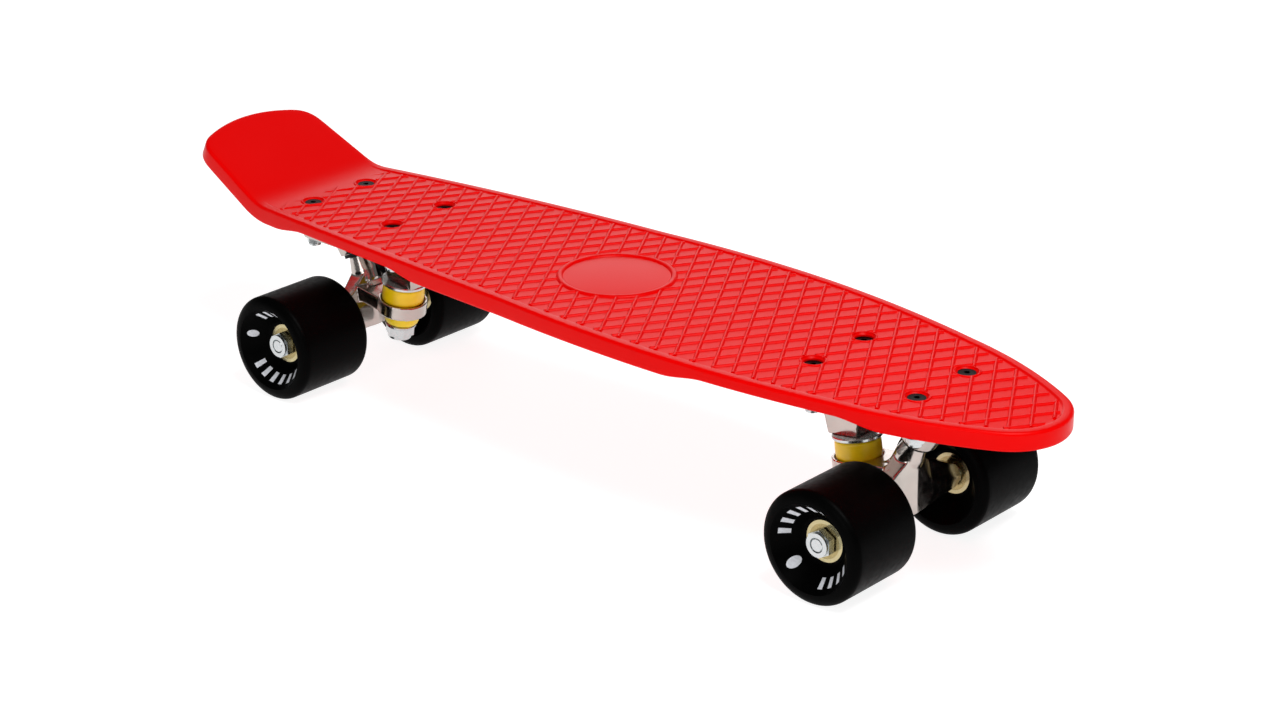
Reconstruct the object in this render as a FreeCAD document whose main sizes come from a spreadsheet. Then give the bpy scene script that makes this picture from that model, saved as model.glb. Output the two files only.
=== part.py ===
import FreeCAD, Part
import math
import os

import Sketcher

# Small moulded cruiser skateboard: a plastic deck with a kicked tail, two cast trucks with
# rubber bushings, four wheels on ball bearings.  Millimetres.  +X points to the nose, +Y to the
# left, +Z up.  The origin is on the floor under the middle of the board's length.

DOC = FreeCAD.newDocument("skateboard")
SHEET = DOC.addObject("Spreadsheet::Sheet", "dims")

SIZES = [
    # Deck, seen from above
    ("overall_length", 576.2, "nose tip to the tail's lower edge, level"),
    ("nose_overhang", 102.0, "front bolt pattern centre to nose tip"),
    ("tail_overhang", 114.2, "rear bolt pattern centre to the tail's lower edge"),
    ("kick_length", 66.7, "kicked tail, along its slope"),
    ("kick_angle", 25.8, "tail slope, degrees"),
    ("tail_half_width", 42.8, "half width where the tail's corners start"),
    ("tail_corner_setback", 20.0, "tail end to the start of its corners, along the slope"),
    ("tail_end_setback", 5.8, "tail end to the end of its corners, along the slope"),
    ("tail_end_half_width", 31.0, "half width at the end of the tail's corners"),
    ("tail_end_radius", 86.0, "crown of the tail's end"),
    ("tail_corner_radius", 15.0, "tail corner"),
    ("kink_half_width", 47.0, "half width at the foot of the kick"),
    ("waist_x", 16.8, "where the taper ends, behind the origin"),
    ("waist_half_width", 66.6, "half width there"),
    ("taper_radius", 2600.0, "side from the kick to the waist"),
    ("waist_radius", 800.0, "side curve behind the widest place"),
    ("widest_x", 66.2, "widest place, ahead of the origin"),
    ("widest_half_width", 70.7, "half width there"),
    ("side_radius", 600.0, "side curve ahead of the widest place"),
    ("shoulder_setback", 92.0, "nose tip to the shoulder"),
    ("shoulder_half_width", 56.5, "half width at the shoulder"),
    ("shoulder_radius", 225.0, "side curve of the nose"),
    ("nose_side_setback", 16.0, "nose tip to the start of its round end"),
    ("nose_side_half_width", 28.8, "half width there"),
    ("nose_radius", 34.0, "round end of the nose"),
    # Deck, seen from the side
    ("deck_top", 99.5, "top of the deck at the trucks"),
    ("camber_radius", 9000.0, "lengthwise crown of the deck"),
    ("kink_radius", 32.0, "bend at the foot of the kick"),
    ("shell_thickness", 5.2, "deck shell"),
    ("rim_depth", 9.9, "height of the rim's wall"),
    ("rim_width", 6.2, "width of the rim's wall"),
    ("lip_height", 0.8, "rim above the tread surface"),
    ("arch_rise", 3.2, "how far the rim's lower edge rises beside a truck"),
    ("arch_x", 28.0, "middle of that rise, inboard of the bolt pattern's centre"),
    ("arch_half_length", 46.0, "half its length"),
    ("arch_slope", 5.0, "run of the slope at its ends"),
    ("rib_pitch", 38.0, "spacing of the ribs across the deck"),
    ("long_rib_pitch", 30.4, "spacing of the ribs along it"),
    ("rib_thickness", 2.4, "rib"),
    ("rib_inset", 1.2, "rib's lower edge above the rim's"),
    ("badge_radius", 30.4, "centre line of the bead round the badge"),
    ("badge_bead", 2.0, "radius of the bead's section"),
    ("badge_sink", 0.9, "bead centre below the tread surface"),
    ("badge_face_rise", 0.15, "flat face inside the bead, above the tread surface"),
    # Truck bolts and base plate
    ("bolt_spacing_x", 63.5, "bolt pattern, along the board"),
    ("bolt_spacing_y", 41.3, "bolt pattern, across the board"),
    ("base_top", 81.0, "seat of the base plate under the deck"),
    ("flange_thickness", 3.7, "base plate flange"),
    ("flange_margin", 6.2, "bolt centre to flange edge"),
    ("bolt_diameter", 4.9, "truck bolt"),
    ("bolt_hole", 5.5, "hole for it"),
    ("bolt_head_diameter", 9.2, "countersunk head"),
    ("bolt_head_sink", 1.9, "head below the deck's top"),
    ("bolt_end", 0.6, "bolt beyond its nut"),
    ("bolt_drive", 3.0, "hexagonal drive, across flats"),
    ("bolt_drive_depth", 2.1, "depth of the drive"),
    ("sink_diameter", 11.6, "countersink in the deck"),
    ("bolt_nut_flats", 8.0, "nut, across flats"),
    ("bolt_nut_height", 3.6, "its hexagon"),
    ("bolt_collar_height", 1.4, "its locking collar"),
    ("pad_margin", 3.0, "moulded truck pad beyond the flange"),
    # Kingpin and what is on it; w is measured along it from the middle of the hanger's ring
    ("ring_x", 16.5, "ring centre, inboard of the bolt pattern's centre"),
    ("ring_z", 42.0, "ring centre above the floor"),
    ("kingpin_tilt", 9.0, "kingpin lean, foot outboard, degrees"),
    ("kingpin_diameter", 9.5, "kingpin"),
    ("kingpin_foot", 20.9, "its lower end, from the ring centre"),
    ("kingpin_head_height", 6.0, "its hexagonal head"),
    ("kingpin_head_flats", 14.0, "across flats"),
    ("head_seat", 30.0, "seat of the head, from the ring centre"),
    ("head_pocket_radius", 8.6, "pocket for the head"),
    ("ring_radius", 14.2, "hanger's ring"),
    ("ring_half_thickness", 4.0, "half its thickness"),
    ("arm_width", 24.0, "arm that carries it"),
    ("ring_bore", 6.6, "radius of its bore, with room to tilt"),
    ("bushing_seat", 2.8, "bushing seat, from the ring centre"),
    ("seat_radius", 12.5, "recess for a bushing"),
    ("board_bushing_radius", 12.0, "bushing on the deck's side"),
    ("board_bushing_height", 10.8, "its height"),
    ("road_bushing_radius", 11.0, "bushing on the road's side, at the ring"),
    ("road_bushing_foot", 9.4, "its radius at the washer"),
    ("road_bushing_height", 8.4, "its height"),
    ("board_washer_radius", 13.0, "large cup washer"),
    ("board_washer_height", 2.2, "its height"),
    ("road_washer_radius", 9.0, "small cup washer"),
    ("road_washer_height", 1.8, "its height"),
    ("kingpin_nut_flats", 14.3, "across flats"),
    ("kingpin_nut_height", 5.4, "its hexagon"),
    ("kingpin_collar_height", 1.9, "its locking collar"),
    ("boss_length", 26.0, "kingpin boss at the flange, along the board"),
    ("boss_width", 23.0, "across the board"),
    ("boss_draft", 9.0, "taper, degrees"),
    # Pivot
    ("pivot_x", 19.5, "pivot ball centre, outboard of the bolt pattern's centre"),
    ("pivot_z", 67.0, "above the floor"),
    ("pivot_lean", 65.0, "pivot nose from level, degrees"),
    ("pivot_ball_radius", 5.0, "end of the hanger's nose"),
    ("pivot_gap", 0.3, "ball to cup"),
    ("nose_root_radius", 7.6, "nose where it leaves the hanger"),
    ("nose_length", 13.0, "ball centre to the nose's root"),
    ("cup_radius", 7.2, "pivot cup"),
    ("cup_lip_radius", 8.2, "its lip"),
    ("cup_lip_height", 2.0, "lip below the housing"),
    ("cup_mouth", 2.0, "housing's mouth below the ball centre"),
    ("cup_flare", 0.45, "how fast the cup's mouth widens, over its depth"),
    ("cup_top", 8.0, "top of the cup above the ball centre"),
    ("housing_radius", 10.0, "pivot housing at its mouth"),
    ("housing_draft", 7.0, "its taper, degrees"),
    # Hanger, from the axle's centre line: its end, its wings and its middle
    ("end_wide", 6.9, "half width of the axle housing's end"),
    ("end_flat", 3.8, "half its flats"),
    ("end_high", 6.2, "half its height"),
    ("wing_place", 14.3, "middle of a wing, from the board's centre line"),
    ("wing_outboard", 6.6, "outboard face of a wing"),
    ("wing_inboard", 6.2, "inboard face of a wing"),
    ("wing_shoulder", 7.0, "height where a wing's faces lean in"),
    ("wing_top", 18.0, "height of a wing"),
    ("wing_crest", 4.0, "half width of a wing's top"),
    ("keel_outboard", 8.0, "outboard ridge of the middle"),
    ("keel_inboard", 7.6, "inboard face of the middle"),
    ("keel_shoulder", 5.0, "top of the ridge, below the nose's root"),
    ("keel_back", 13.0, "height of the inboard face"),
    ("crest_half", 5.5, "half width of the middle's top"),
    ("crest_outboard", 4.0, "its outboard edge, above the nose's root"),
    ("crest_inboard", 5.5, "its inboard edge, above the nose's root"),
    ("web_thickness", 9.0, "web between the nose and the ring"),
    ("web_foot_x", 0.5, "inboard foot of the web, from the bolt pattern's centre"),
    ("web_foot_rise", 5.5, "that foot, above the ring's centre"),
    # Axle, wheel and bearing
    ("axle_x", 11.5, "axle, outboard of the bolt pattern's centre"),
    ("wheel_radius", 30.0, "wheel"),
    ("wheel_half_width", 25.0, "half its width"),
    ("tread_half_width", 21.2, "half the flat of the tread"),
    ("crest_radius", 23.5, "widest ring of the wheel's side"),
    ("wheel_y", 52.4, "wheel's middle from the board's centre line"),
    ("hub_floor_step", 1.6, "floor of the dished side, beyond the bearing"),
    ("core_step", 0.6, "wheel's core between the bearings, beyond their inside"),
    ("axle_diameter", 7.94, "axle"),
    ("axle_half_length", 70.7, "half the axle"),
    ("bearing_outside", 22.0, "bearing"),
    ("bearing_width", 7.0, "bearing"),
    ("bearing_gap", 10.0, "between a wheel's two bearings"),
    ("inner_ring_radius", 5.9, "outside of the inner ring"),
    ("outer_ring_radius", 9.1, "inside of the outer ring"),
    ("ball_diameter", 3.969, "ball"),
    ("ball_pitch_radius", 7.5, "circle of the balls"),
    ("race_gap", 0.045, "ball to race"),
    ("cage_inner_radius", 6.9, "cage"),
    ("cage_outer_radius", 8.1, "cage"),
    ("cage_half_width", 2.5, "cage"),
    ("shield_inner_radius", 6.1, "bearing shield"),
    ("shield_thickness", 0.3, "bearing shield"),
    ("shield_inset", 0.1, "shield below the bearing's side"),
    ("spacer_radius", 5.5, "tube between the bearings"),
    ("washer_radius", 5.8, "speed washer"),
    ("washer_thickness", 0.8, "speed washer"),
    ("axle_nut_flats", 13.0, "across flats"),
    ("axle_nut_height", 4.0, "its hexagon"),
    ("axle_collar_height", 1.6, "its locking collar"),
    ("axle_collar_radius", 6.3, "its locking collar"),
    # Fits
    ("fit_gap", 0.03, "radial gap of pieces that are held tight"),
    ("slip_gap", 0.2, "radial gap of pieces that slip over the kingpin"),
    ("soft_edge", 0.8, "chamfer of bushings, pins and the axle"),
    ("sheet_edge", 0.5, "chamfer of cup washers and bolts"),
]

for row, (alias, size, meaning) in enumerate(SIZES, start=1):
    SHEET.set(f"A{row}", meaning)
    SHEET.set(f"B{row}", str(size))
    SHEET.setAlias(f"B{row}", alias)
DOC.recompute()

# Expressions that several pieces share
FRONT_X = "(dims.overall_length / 2 - dims.nose_overhang)"
REAR_X = "(dims.tail_overhang - dims.overall_length / 2)"
MIDDLE_X = f"(({FRONT_X} + {REAR_X}) / 2)"
HALF_TRUCKS = f"(({FRONT_X} - {REAR_X}) / 2)"
NOSE_X = "(dims.overall_length / 2)"
TAIL_X = "(-dims.overall_length / 2)"
KINK_X = f"({TAIL_X} + dims.kick_length * cos(dims.kick_angle) + dims.rim_depth * sin(dims.kick_angle))"
BEARING_FACE = "(dims.bearing_gap / 2 + dims.bearing_width)"
BEARING_MIDDLE = "((dims.bearing_gap + dims.bearing_width) / 2)"
BOARD_WASHER_SEAT = "(dims.bushing_seat + dims.board_bushing_height)"
BOSS_SEAT = f"({BOARD_WASHER_SEAT} + dims.board_washer_height)"
ROAD_WASHER_SEAT = "(dims.bushing_seat + dims.road_bushing_height)"
NUT_SEAT = f"({ROAD_WASHER_SEAT} + dims.road_washer_height)"
BOLT_HEAD_TOP = "(dims.deck_top - dims.bolt_head_sink)"
BOLT_NUT_SEAT = "(dims.base_top - dims.flange_thickness)"
BOLT_NUT = "(dims.bolt_nut_height + dims.bolt_collar_height)"
BOLT_LENGTH = f"({BOLT_HEAD_TOP} - {BOLT_NUT_SEAT} + {BOLT_NUT} + dims.bolt_end)"
BEARING_BORE = "(dims.axle_diameter / 2 + dims.fit_gap)"
HANGER_END = f"(dims.wheel_y - {BEARING_FACE} - dims.washer_thickness)"

# Each truck: prefix, place of its bolt pattern, direction of its outboard side, turn about Z
TRUCKS = [("front", FRONT_X, "1", 0), ("rear", REAR_X, "-1", 180)]
SIDES = [("left", "1"), ("right", "-1")]
BALL_COUNT = 7
NODES = []


def size(alias):
    """Number in the sheet's cell."""
    return float(SHEET.get(alias))


def add(kind, name):
    """New object of the document."""
    return DOC.addObject(kind, name)


def keep(feature, node):
    """Name a finished sub-part and remember it for export."""
    feature.Label = node
    NODES.append((node, feature))
    return feature


def bind(feature, **expressions):
    """Bind properties to the sheet; a double underscore in a name stands for a dot."""
    for name, expression in expressions.items():
        feature.setExpression(name.replace("__", "."), expression)


def place(feature, x="0", y="0", z="0", axis=(0, 0, 1), turn="0"):
    """Place an object by expressions, turned about an axis."""
    feature.Placement = FreeCAD.Placement(FreeCAD.Vector(), FreeCAD.Rotation(FreeCAD.Vector(*axis), 1))
    bind(feature, Placement__Base__x=x, Placement__Base__y=y, Placement__Base__z=z)
    bind(feature, Placement__Rotation__Angle=turn)


def new_sketch(body, name, role):
    """Empty sketch on one of the body's own origin planes."""
    sketch = body.newObject("Sketcher::SketchObject", name)
    plane = next(item for item in body.Origin.OriginFeatures if item.Role == role)
    sketch.AttachmentSupport = [(plane, "")]
    sketch.MapMode = "FlatFace"
    return sketch


def constrain(sketch, expression, *constraint):
    """Add a dimension and bind it to the sheet."""
    index = sketch.addConstraint(Sketcher.Constraint(*constraint))
    sketch.setExpression(f"Constraints[{index}]", expression)


def arc_between(start, end, radius):
    """Arc from start to end; it turns left if the radius is positive, else right."""
    chord = end - start
    rise = math.sqrt(max(radius**2 - (chord.Length / 2) ** 2, 0.0))
    left = FreeCAD.Vector(-chord.y, chord.x, 0).normalize()
    centre = (start + end) * 0.5 + left * math.copysign(rise, radius)
    first, last = (start, end) if radius > 0 else (end, start)
    angles = [math.atan2(point.y - centre.y, point.x - centre.x) for point in (first, last)]
    circle = Part.Circle(centre, FreeCAD.Vector(0, 0, 1), abs(radius))
    return Part.ArcOfCircle(circle, angles[0], angles[1])


def profile(body, name, role, corners, bends=None):
    """Closed outline through corners whose two coordinates are expressions.

    bends names the sides that are arcs: {index of the side: (alias of its radius, 1 or -1)}.
    """
    sketch = new_sketch(body, name, role)
    bends = bends or {}
    for across, up in corners:
        point = sketch.addGeometry(Part.Point(FreeCAD.Vector(1, 1, 0)), True)
        constrain(sketch, across, "DistanceX", -1, 1, point, 1, 1.0)
        constrain(sketch, up, "DistanceY", -1, 1, point, 1, 1.0)
    DOC.recompute()
    spots = [FreeCAD.Vector(item.X, item.Y, 0) for item in sketch.Geometry]
    for side, start in enumerate(spots):
        following = (side + 1) % len(spots)
        ends = [side, following]
        if side in bends:
            alias, turn = bends[side]
            curve = arc_between(start, spots[following], turn * size(alias))
            ends = ends if turn > 0 else ends[::-1]
        else:
            curve = Part.LineSegment(start, spots[following])
        index = sketch.addGeometry(curve, False)
        for end, point in enumerate(ends, start=1):
            sketch.addConstraint(Sketcher.Constraint("Coincident", index, end, point, 1))
        if side in bends:
            constrain(sketch, f"dims.{alias}", "Radius", index, size(alias))
    DOC.recompute()
    return sketch


def circle_sketch(body, name, role, *radii):
    """Concentric circles about the plane's origin; each radius is an expression."""
    sketch = new_sketch(body, name, role)
    for radius in radii:
        circle = Part.Circle(FreeCAD.Vector(), FreeCAD.Vector(0, 0, 1), 1 + len(sketch.Geometry))
        index = sketch.addGeometry(circle, False)
        sketch.addConstraint(Sketcher.Constraint("Coincident", index, 3, -1, 1))
        constrain(sketch, radius, "Radius", index, 1.0 + index)
    return sketch


def lift(sketch, distance, x="0", y="0"):
    """Move a sketch along its own plane's normal, and across it."""
    bind(sketch, AttachmentOffset__Base__z=distance, AttachmentOffset__Base__x=x)
    bind(sketch, AttachmentOffset__Base__y=y)


def pad(body, sketch, length, symmetric=False, reverse=False, draft=None):
    """Pad of a sketch."""
    feature = body.newObject("PartDesign::Pad", "Pad")
    feature.Profile = sketch
    feature.SideType = "Symmetric" if symmetric else "One side"
    feature.Reversed = reverse
    bind(feature, Length=length)
    if draft:
        bind(feature, TaperAngle=draft)
    DOC.recompute()
    return feature


def pocket(body, sketch, length, symmetric=False, reverse=False):
    """Pocket of a sketch; it has to remove something."""
    before = body.Tip.Shape.Volume
    feature = body.newObject("PartDesign::Pocket", "Pocket")
    feature.Profile = sketch
    feature.SideType = "Symmetric" if symmetric else "One side"
    feature.Reversed = reverse
    bind(feature, Length=length)
    DOC.recompute()
    if not feature.Shape.Volume < before - 1e-6:
        raise RuntimeError(f"{body.Name}: pocket {sketch.Name} removes nothing")
    return feature


def revolve(body, sketch, axis="H_Axis", kind="PartDesign::Revolution"):
    """Full turn of a sketch about one of its axes."""
    feature = body.newObject(kind, "Turned")
    feature.Profile = sketch
    feature.ReferenceAxis = (sketch, [axis])
    feature.Angle = 360
    DOC.recompute()
    return feature


def round_edges(body, radius, chosen):
    """Fillet the edges of the body's tip for which chosen(edge) is true."""
    base = body.Tip
    names = [f"Edge{n}" for n, edge in enumerate(base.Shape.Edges, start=1) if chosen(edge)]
    if not names:
        raise RuntimeError(f"{body.Name}: no edge to round")
    feature = body.newObject("PartDesign::Fillet", "Fillet")
    feature.Base = (base, names)
    bind(feature, Radius=radius)
    DOC.recompute()
    return feature


def turned(name, role, corners, bends=None, axis="H_Axis"):
    """Body made by one full turn of one outline."""
    body = add("PartDesign::Body", name)
    sketch = profile(body, f"{name}_outline", role, corners, bends)
    revolve(body, sketch, axis)
    return body


def block(name, role, corners, width, bends=None):
    """Body made by one pad of one outline, to both sides of its plane."""
    body = add("PartDesign::Body", name)
    sketch = profile(body, f"{name}_outline", role, corners, bends)
    pad(body, sketch, width, symmetric=True)
    return body


def hexagon(flats):
    """Corners of a hexagon with two corners on the second axis."""
    half = f"{flats} / 2"
    low = f"{flats} / 2 / sqrt(3)"
    high = f"{flats} / sqrt(3)"
    right = [("0", high), (f"-{half}", low), (f"-{half}", f"-{low}")]
    left = [("0", f"-{high}"), (half, f"-{low}"), (half, low)]
    return right + left


def combine(kind, name, parts):
    """Boolean of several objects."""
    feature = add(kind, name)
    feature.Shapes = parts
    return feature


def cut(name, base, tool):
    """Base less tool."""
    feature = add("Part::Cut", name)
    feature.Base = base
    feature.Tool = tool
    return feature


def copies(name, master, spots):
    """Group of separate solids: the master at each spot, an (x, y, z, axis, turn) tuple."""
    group = add("Part::Compound", name)
    links = []
    for number, (x, y, z, axis, turn) in enumerate(spots, start=1):
        link = add("App::Link", f"{name}_{number}")
        link.LinkedObject = master
        place(link, x, y, z, axis, turn)
        links.append(link)
    group.Links = links
    return group


# ---------------------------------------------------------------------------- deck


def deck_height(x):
    """Height of the cambered top at x, as an expression."""
    drop = f"(({HALF_TRUCKS})^2 - ({x} - {MIDDLE_X})^2) / (2 * dims.camber_radius)"
    return f"(dims.deck_top + {drop})"


def main_outline(name, inset="0", start=KINK_X):
    """Upright prism of the deck's plan from a square end at start to the nose, drawn in by an inset."""
    right = [
        (start, f"-(dims.kink_half_width - {inset})"),
        ("-dims.waist_x", f"-(dims.waist_half_width - {inset})"),
        ("dims.widest_x", f"-(dims.widest_half_width - {inset})"),
        (f"{NOSE_X} - dims.shoulder_setback", f"-(dims.shoulder_half_width - {inset})"),
        (
            f"{NOSE_X} - dims.nose_side_setback - {inset} / 2",
            f"-(dims.nose_side_half_width - {inset} * 0.85)",
        ),
    ]
    left = [(x, y[1:]) for x, y in reversed(right)]
    sides = {
        0: "taper_radius",
        1: "waist_radius",
        2: "side_radius",
        3: "shoulder_radius",
        4: "nose_radius",
    }
    mirrored = {len(right) + len(left) - 2 - side: alias for side, alias in sides.items()}
    bends = {side: (alias, 1) for side, alias in {**sides, **mirrored}.items()}
    return block(name, "XY_Plane", right + left, "4 * dims.deck_top", bends)


def tail_outline(name, inset="0"):
    """Prism of the tail's plan, square to the tail's slope, from its end to under the deck."""
    right = [
        (
            f"-(dims.kick_length - dims.tail_end_setback - {inset})",
            f"-(dims.tail_end_half_width - {inset} / 2)",
        ),
        ("-(dims.kick_length - dims.tail_corner_setback)", f"-(dims.tail_half_width - {inset})"),
        ("0", f"-(dims.kink_half_width - {inset})"),
        ("dims.rim_depth", f"-(dims.kink_half_width - {inset})"),
    ]
    left = [(x, y[1:]) for x, y in reversed(right)]
    last = len(right) + len(left) - 1
    bends = {
        0: ("tail_corner_radius", 1),
        last - 1: ("tail_corner_radius", 1),
        last: ("tail_end_radius", 1),
    }
    body = block(name, "XY_Plane", right + left, "4 * dims.deck_top", bends)
    place(body, KINK_X, z=deck_height(KINK_X), axis=(0, 1, 0), turn="dims.kick_angle")
    return body


def whole_outline(name, inset="0"):
    """Prisms of the level deck and of the tail, joined."""
    parts = [main_outline(f"{name}_main", inset), tail_outline(f"{name}_tail", inset)]
    return combine("Part::MultiFuse", name, parts)


def side_slab(name, over, under):
    """Slab that follows the deck's side view, from over to under the top surface, past both ends."""
    tilt = "dims.kick_angle"
    run = "(dims.kick_length + 3 * dims.rim_depth)"
    end_x = f"{KINK_X} - {run}"
    rise = f"{run} * tan({tilt})"
    nose_top = deck_height(NOSE_X)
    kink_top = deck_height(KINK_X)
    shift = f"tan({tilt} / 2)"
    corners = [
        (f"{KINK_X} + ({over}) * {shift}", f"{kink_top} + ({over})"),
        (f"{end_x} + ({over}) * sin({tilt})", f"{kink_top} + {rise} + ({over}) * cos({tilt})"),
        (f"{end_x} - ({under}) * sin({tilt})", f"{kink_top} + {rise} - ({under}) * cos({tilt})"),
        (f"{KINK_X} - ({under}) * {shift}", f"{kink_top} - ({under})"),
        (NOSE_X, f"{nose_top} - ({under})"),
        (NOSE_X, f"{nose_top} + ({over})"),
    ]
    bends = {3: ("camber_radius", -1), 5: ("camber_radius", 1)}
    body = block(name, "XZ_Plane", corners, "4 * dims.widest_half_width", bends)
    angle = math.radians(size("kick_angle"))
    run = size("kick_length") * math.cos(angle) + size("rim_depth") * math.sin(angle)
    kink = FreeCAD.Vector(run - size("overall_length") / 2, 0, size("deck_top"))

    def at_kink(edge):
        middle = edge.CenterOfMass
        near = abs(middle.x - kink.x) < size("rim_depth") and abs(middle.z - kink.z) < 2 * size("rim_depth")
        return near and abs(middle.y) < 1 and edge.Length > 3 * size("widest_half_width")

    round_edges(body, "dims.kink_radius", at_kink)
    return body


def rib_grid():
    """Ribs across the deck and along it, as one tool."""
    ribs = []
    reach = int(size("overall_length") / 2 / size("rib_pitch")) - 1
    for number in range(-reach, reach + 1):
        rib = add("Part::Box", f"cross_rib_{number + reach + 1}")
        bind(rib, Length="dims.rib_thickness", Width="4 * dims.widest_half_width", Height="dims.deck_top")
        place(rib, f"{number} * dims.rib_pitch - dims.rib_thickness / 2", "-2 * dims.widest_half_width")
        ribs.append(rib)
    for number in (-1, 0, 1):
        rib = add("Part::Box", f"long_rib_{number + 2}")
        bind(rib, Length="2 * dims.overall_length", Width="dims.rib_thickness", Height="dims.deck_top")
        place(rib, "-dims.overall_length", f"{number} * dims.long_rib_pitch - dims.rib_thickness / 2")
        ribs.append(rib)
    return ribs


def truck_pad(prefix, x):
    """Solid block of the deck over one truck, down to the base plate's seat."""
    body = add("PartDesign::Body", f"{prefix}_pad")
    half_x = "(dims.bolt_spacing_x / 2 + dims.flange_margin + dims.pad_margin)"
    half_y = "(dims.bolt_spacing_y / 2 + dims.flange_margin + dims.pad_margin)"
    corners = [(f"-{half_x}", f"-{half_y}"), (half_x, f"-{half_y}"), (half_x, half_y), (f"-{half_x}", half_y)]
    sketch = profile(body, f"{prefix}_pad_outline", "XY_Plane", corners)
    pad(body, sketch, "dims.deck_top - dims.base_top - dims.shell_thickness / 2")
    round_edges(body, "dims.flange_margin + dims.pad_margin", lambda edge: abs(edge.tangentAt(0).z) > 0.9)
    place(body, x, z="dims.base_top")
    return body


def rim_arch(prefix, x, outboard):
    """Tool that raises the rim's lower edge beside one truck."""
    under = deck_height(x)
    low = f"{under} - dims.rim_depth - dims.arch_rise"
    high = f"{under} - dims.rim_depth + dims.arch_rise"
    middle = f"({x} - {outboard} * dims.arch_x)"
    corners = [
        (f"{middle} - dims.arch_half_length - dims.arch_slope", low),
        (f"{middle} + dims.arch_half_length + dims.arch_slope", low),
        (f"{middle} + dims.arch_half_length - dims.arch_slope", high),
        (f"{middle} - dims.arch_half_length + dims.arch_slope", high),
    ]
    return block(f"{prefix}_arch", "XZ_Plane", corners, "4 * dims.widest_half_width")


def bolt_spots(x):
    """Expressions of the four bolt places of one truck."""
    return [
        (f"{x} + {along} * dims.bolt_spacing_x / 2", f"{across} * dims.bolt_spacing_y / 2")
        for along in ("1", "-1")
        for across in ("1", "-1")
    ]


def bolt_hole_tool():
    """Countersunk hole, as a solid to cut away."""
    above = "dims.deck_top + dims.bolt_head_sink"
    cone = "((dims.sink_diameter - dims.bolt_hole) / 2)"
    corners = [
        ("0", BOLT_NUT_SEAT),
        ("dims.bolt_hole / 2", BOLT_NUT_SEAT),
        ("dims.bolt_hole / 2", f"{BOLT_HEAD_TOP} - {cone}"),
        ("dims.sink_diameter / 2", BOLT_HEAD_TOP),
        ("dims.sink_diameter / 2", above),
        ("0", above),
    ]
    return turned("bolt_hole", "XZ_Plane", corners, axis="V_Axis")


def build_deck():
    """Moulded deck: shell, rim with a raised lip, kicked tail, ribs, truck pads, badge bead."""
    prism = whole_outline("deck_plan")
    side = side_slab("deck_side", "0", "dims.rim_depth")
    envelope = combine("Part::MultiCommon", "deck_envelope", [prism, side])
    arches = [rim_arch(prefix, x, out) for prefix, x, out, _ in TRUCKS]
    arched = cut("deck_arched", envelope, combine("Part::MultiFuse", "arches", arches))
    pads = [truck_pad(prefix, x) for prefix, x, _, _ in TRUCKS]
    padded = combine("Part::MultiFuse", "deck_padded", [arched] + pads)
    hollow = combine(
        "Part::MultiCommon",
        "deck_hollow",
        [
            whole_outline("hollow_plan", "dims.rim_width"),
            side_slab("hollow_side", "-dims.shell_thickness", "2.5 * dims.rim_depth"),
        ],
    )
    rib_slab = side_slab("rib_side", "0", "dims.rim_depth - dims.rib_inset")
    grid = combine("Part::MultiFuse", "rib_grid", rib_grid())
    ribs = combine("Part::MultiCommon", "ribs", [grid, rib_slab])
    solid_parts = combine("Part::MultiFuse", "kept_solid", [ribs] + pads)
    cells = cut("deck_cells", hollow, solid_parts)
    lip = combine(
        "Part::MultiCommon",
        "tread_recess",
        [
            main_outline("tread_plan", "dims.rim_width", f"({KINK_X} + 2 * dims.rim_width)"),
            side_slab("tread_side", "2 * dims.rim_depth", "dims.lip_height"),
        ],
    )
    holes = copies(
        "bolt_holes",
        bolt_hole_tool(),
        [(x, y, "0", (0, 0, 1), "0") for _, truck_x, _, _ in TRUCKS for x, y in bolt_spots(truck_x)],
    )
    removed = combine("Part::MultiFuse", "deck_removed", [cells, lip, holes])
    shell = cut("deck_shell", padded, removed)
    bead = add("Part::Torus", "badge_bead_ring")
    bind(bead, Radius1="dims.badge_radius", Radius2="dims.badge_bead")
    tread = f"({deck_height(MIDDLE_X)} - dims.lip_height)"
    place(bead, MIDDLE_X, z=f"{tread} - dims.badge_sink")
    face = add("Part::Cylinder", "badge_face")
    bind(face, Radius="dims.badge_radius", Height="dims.shell_thickness / 2")
    place(face, MIDDLE_X, z=f"{tread} + dims.badge_face_rise - dims.shell_thickness / 2")
    keep(combine("Part::MultiFuse", "deck_whole", [shell, bead, face]), "deck")


# ---------------------------------------------------------------------------- trucks


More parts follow.
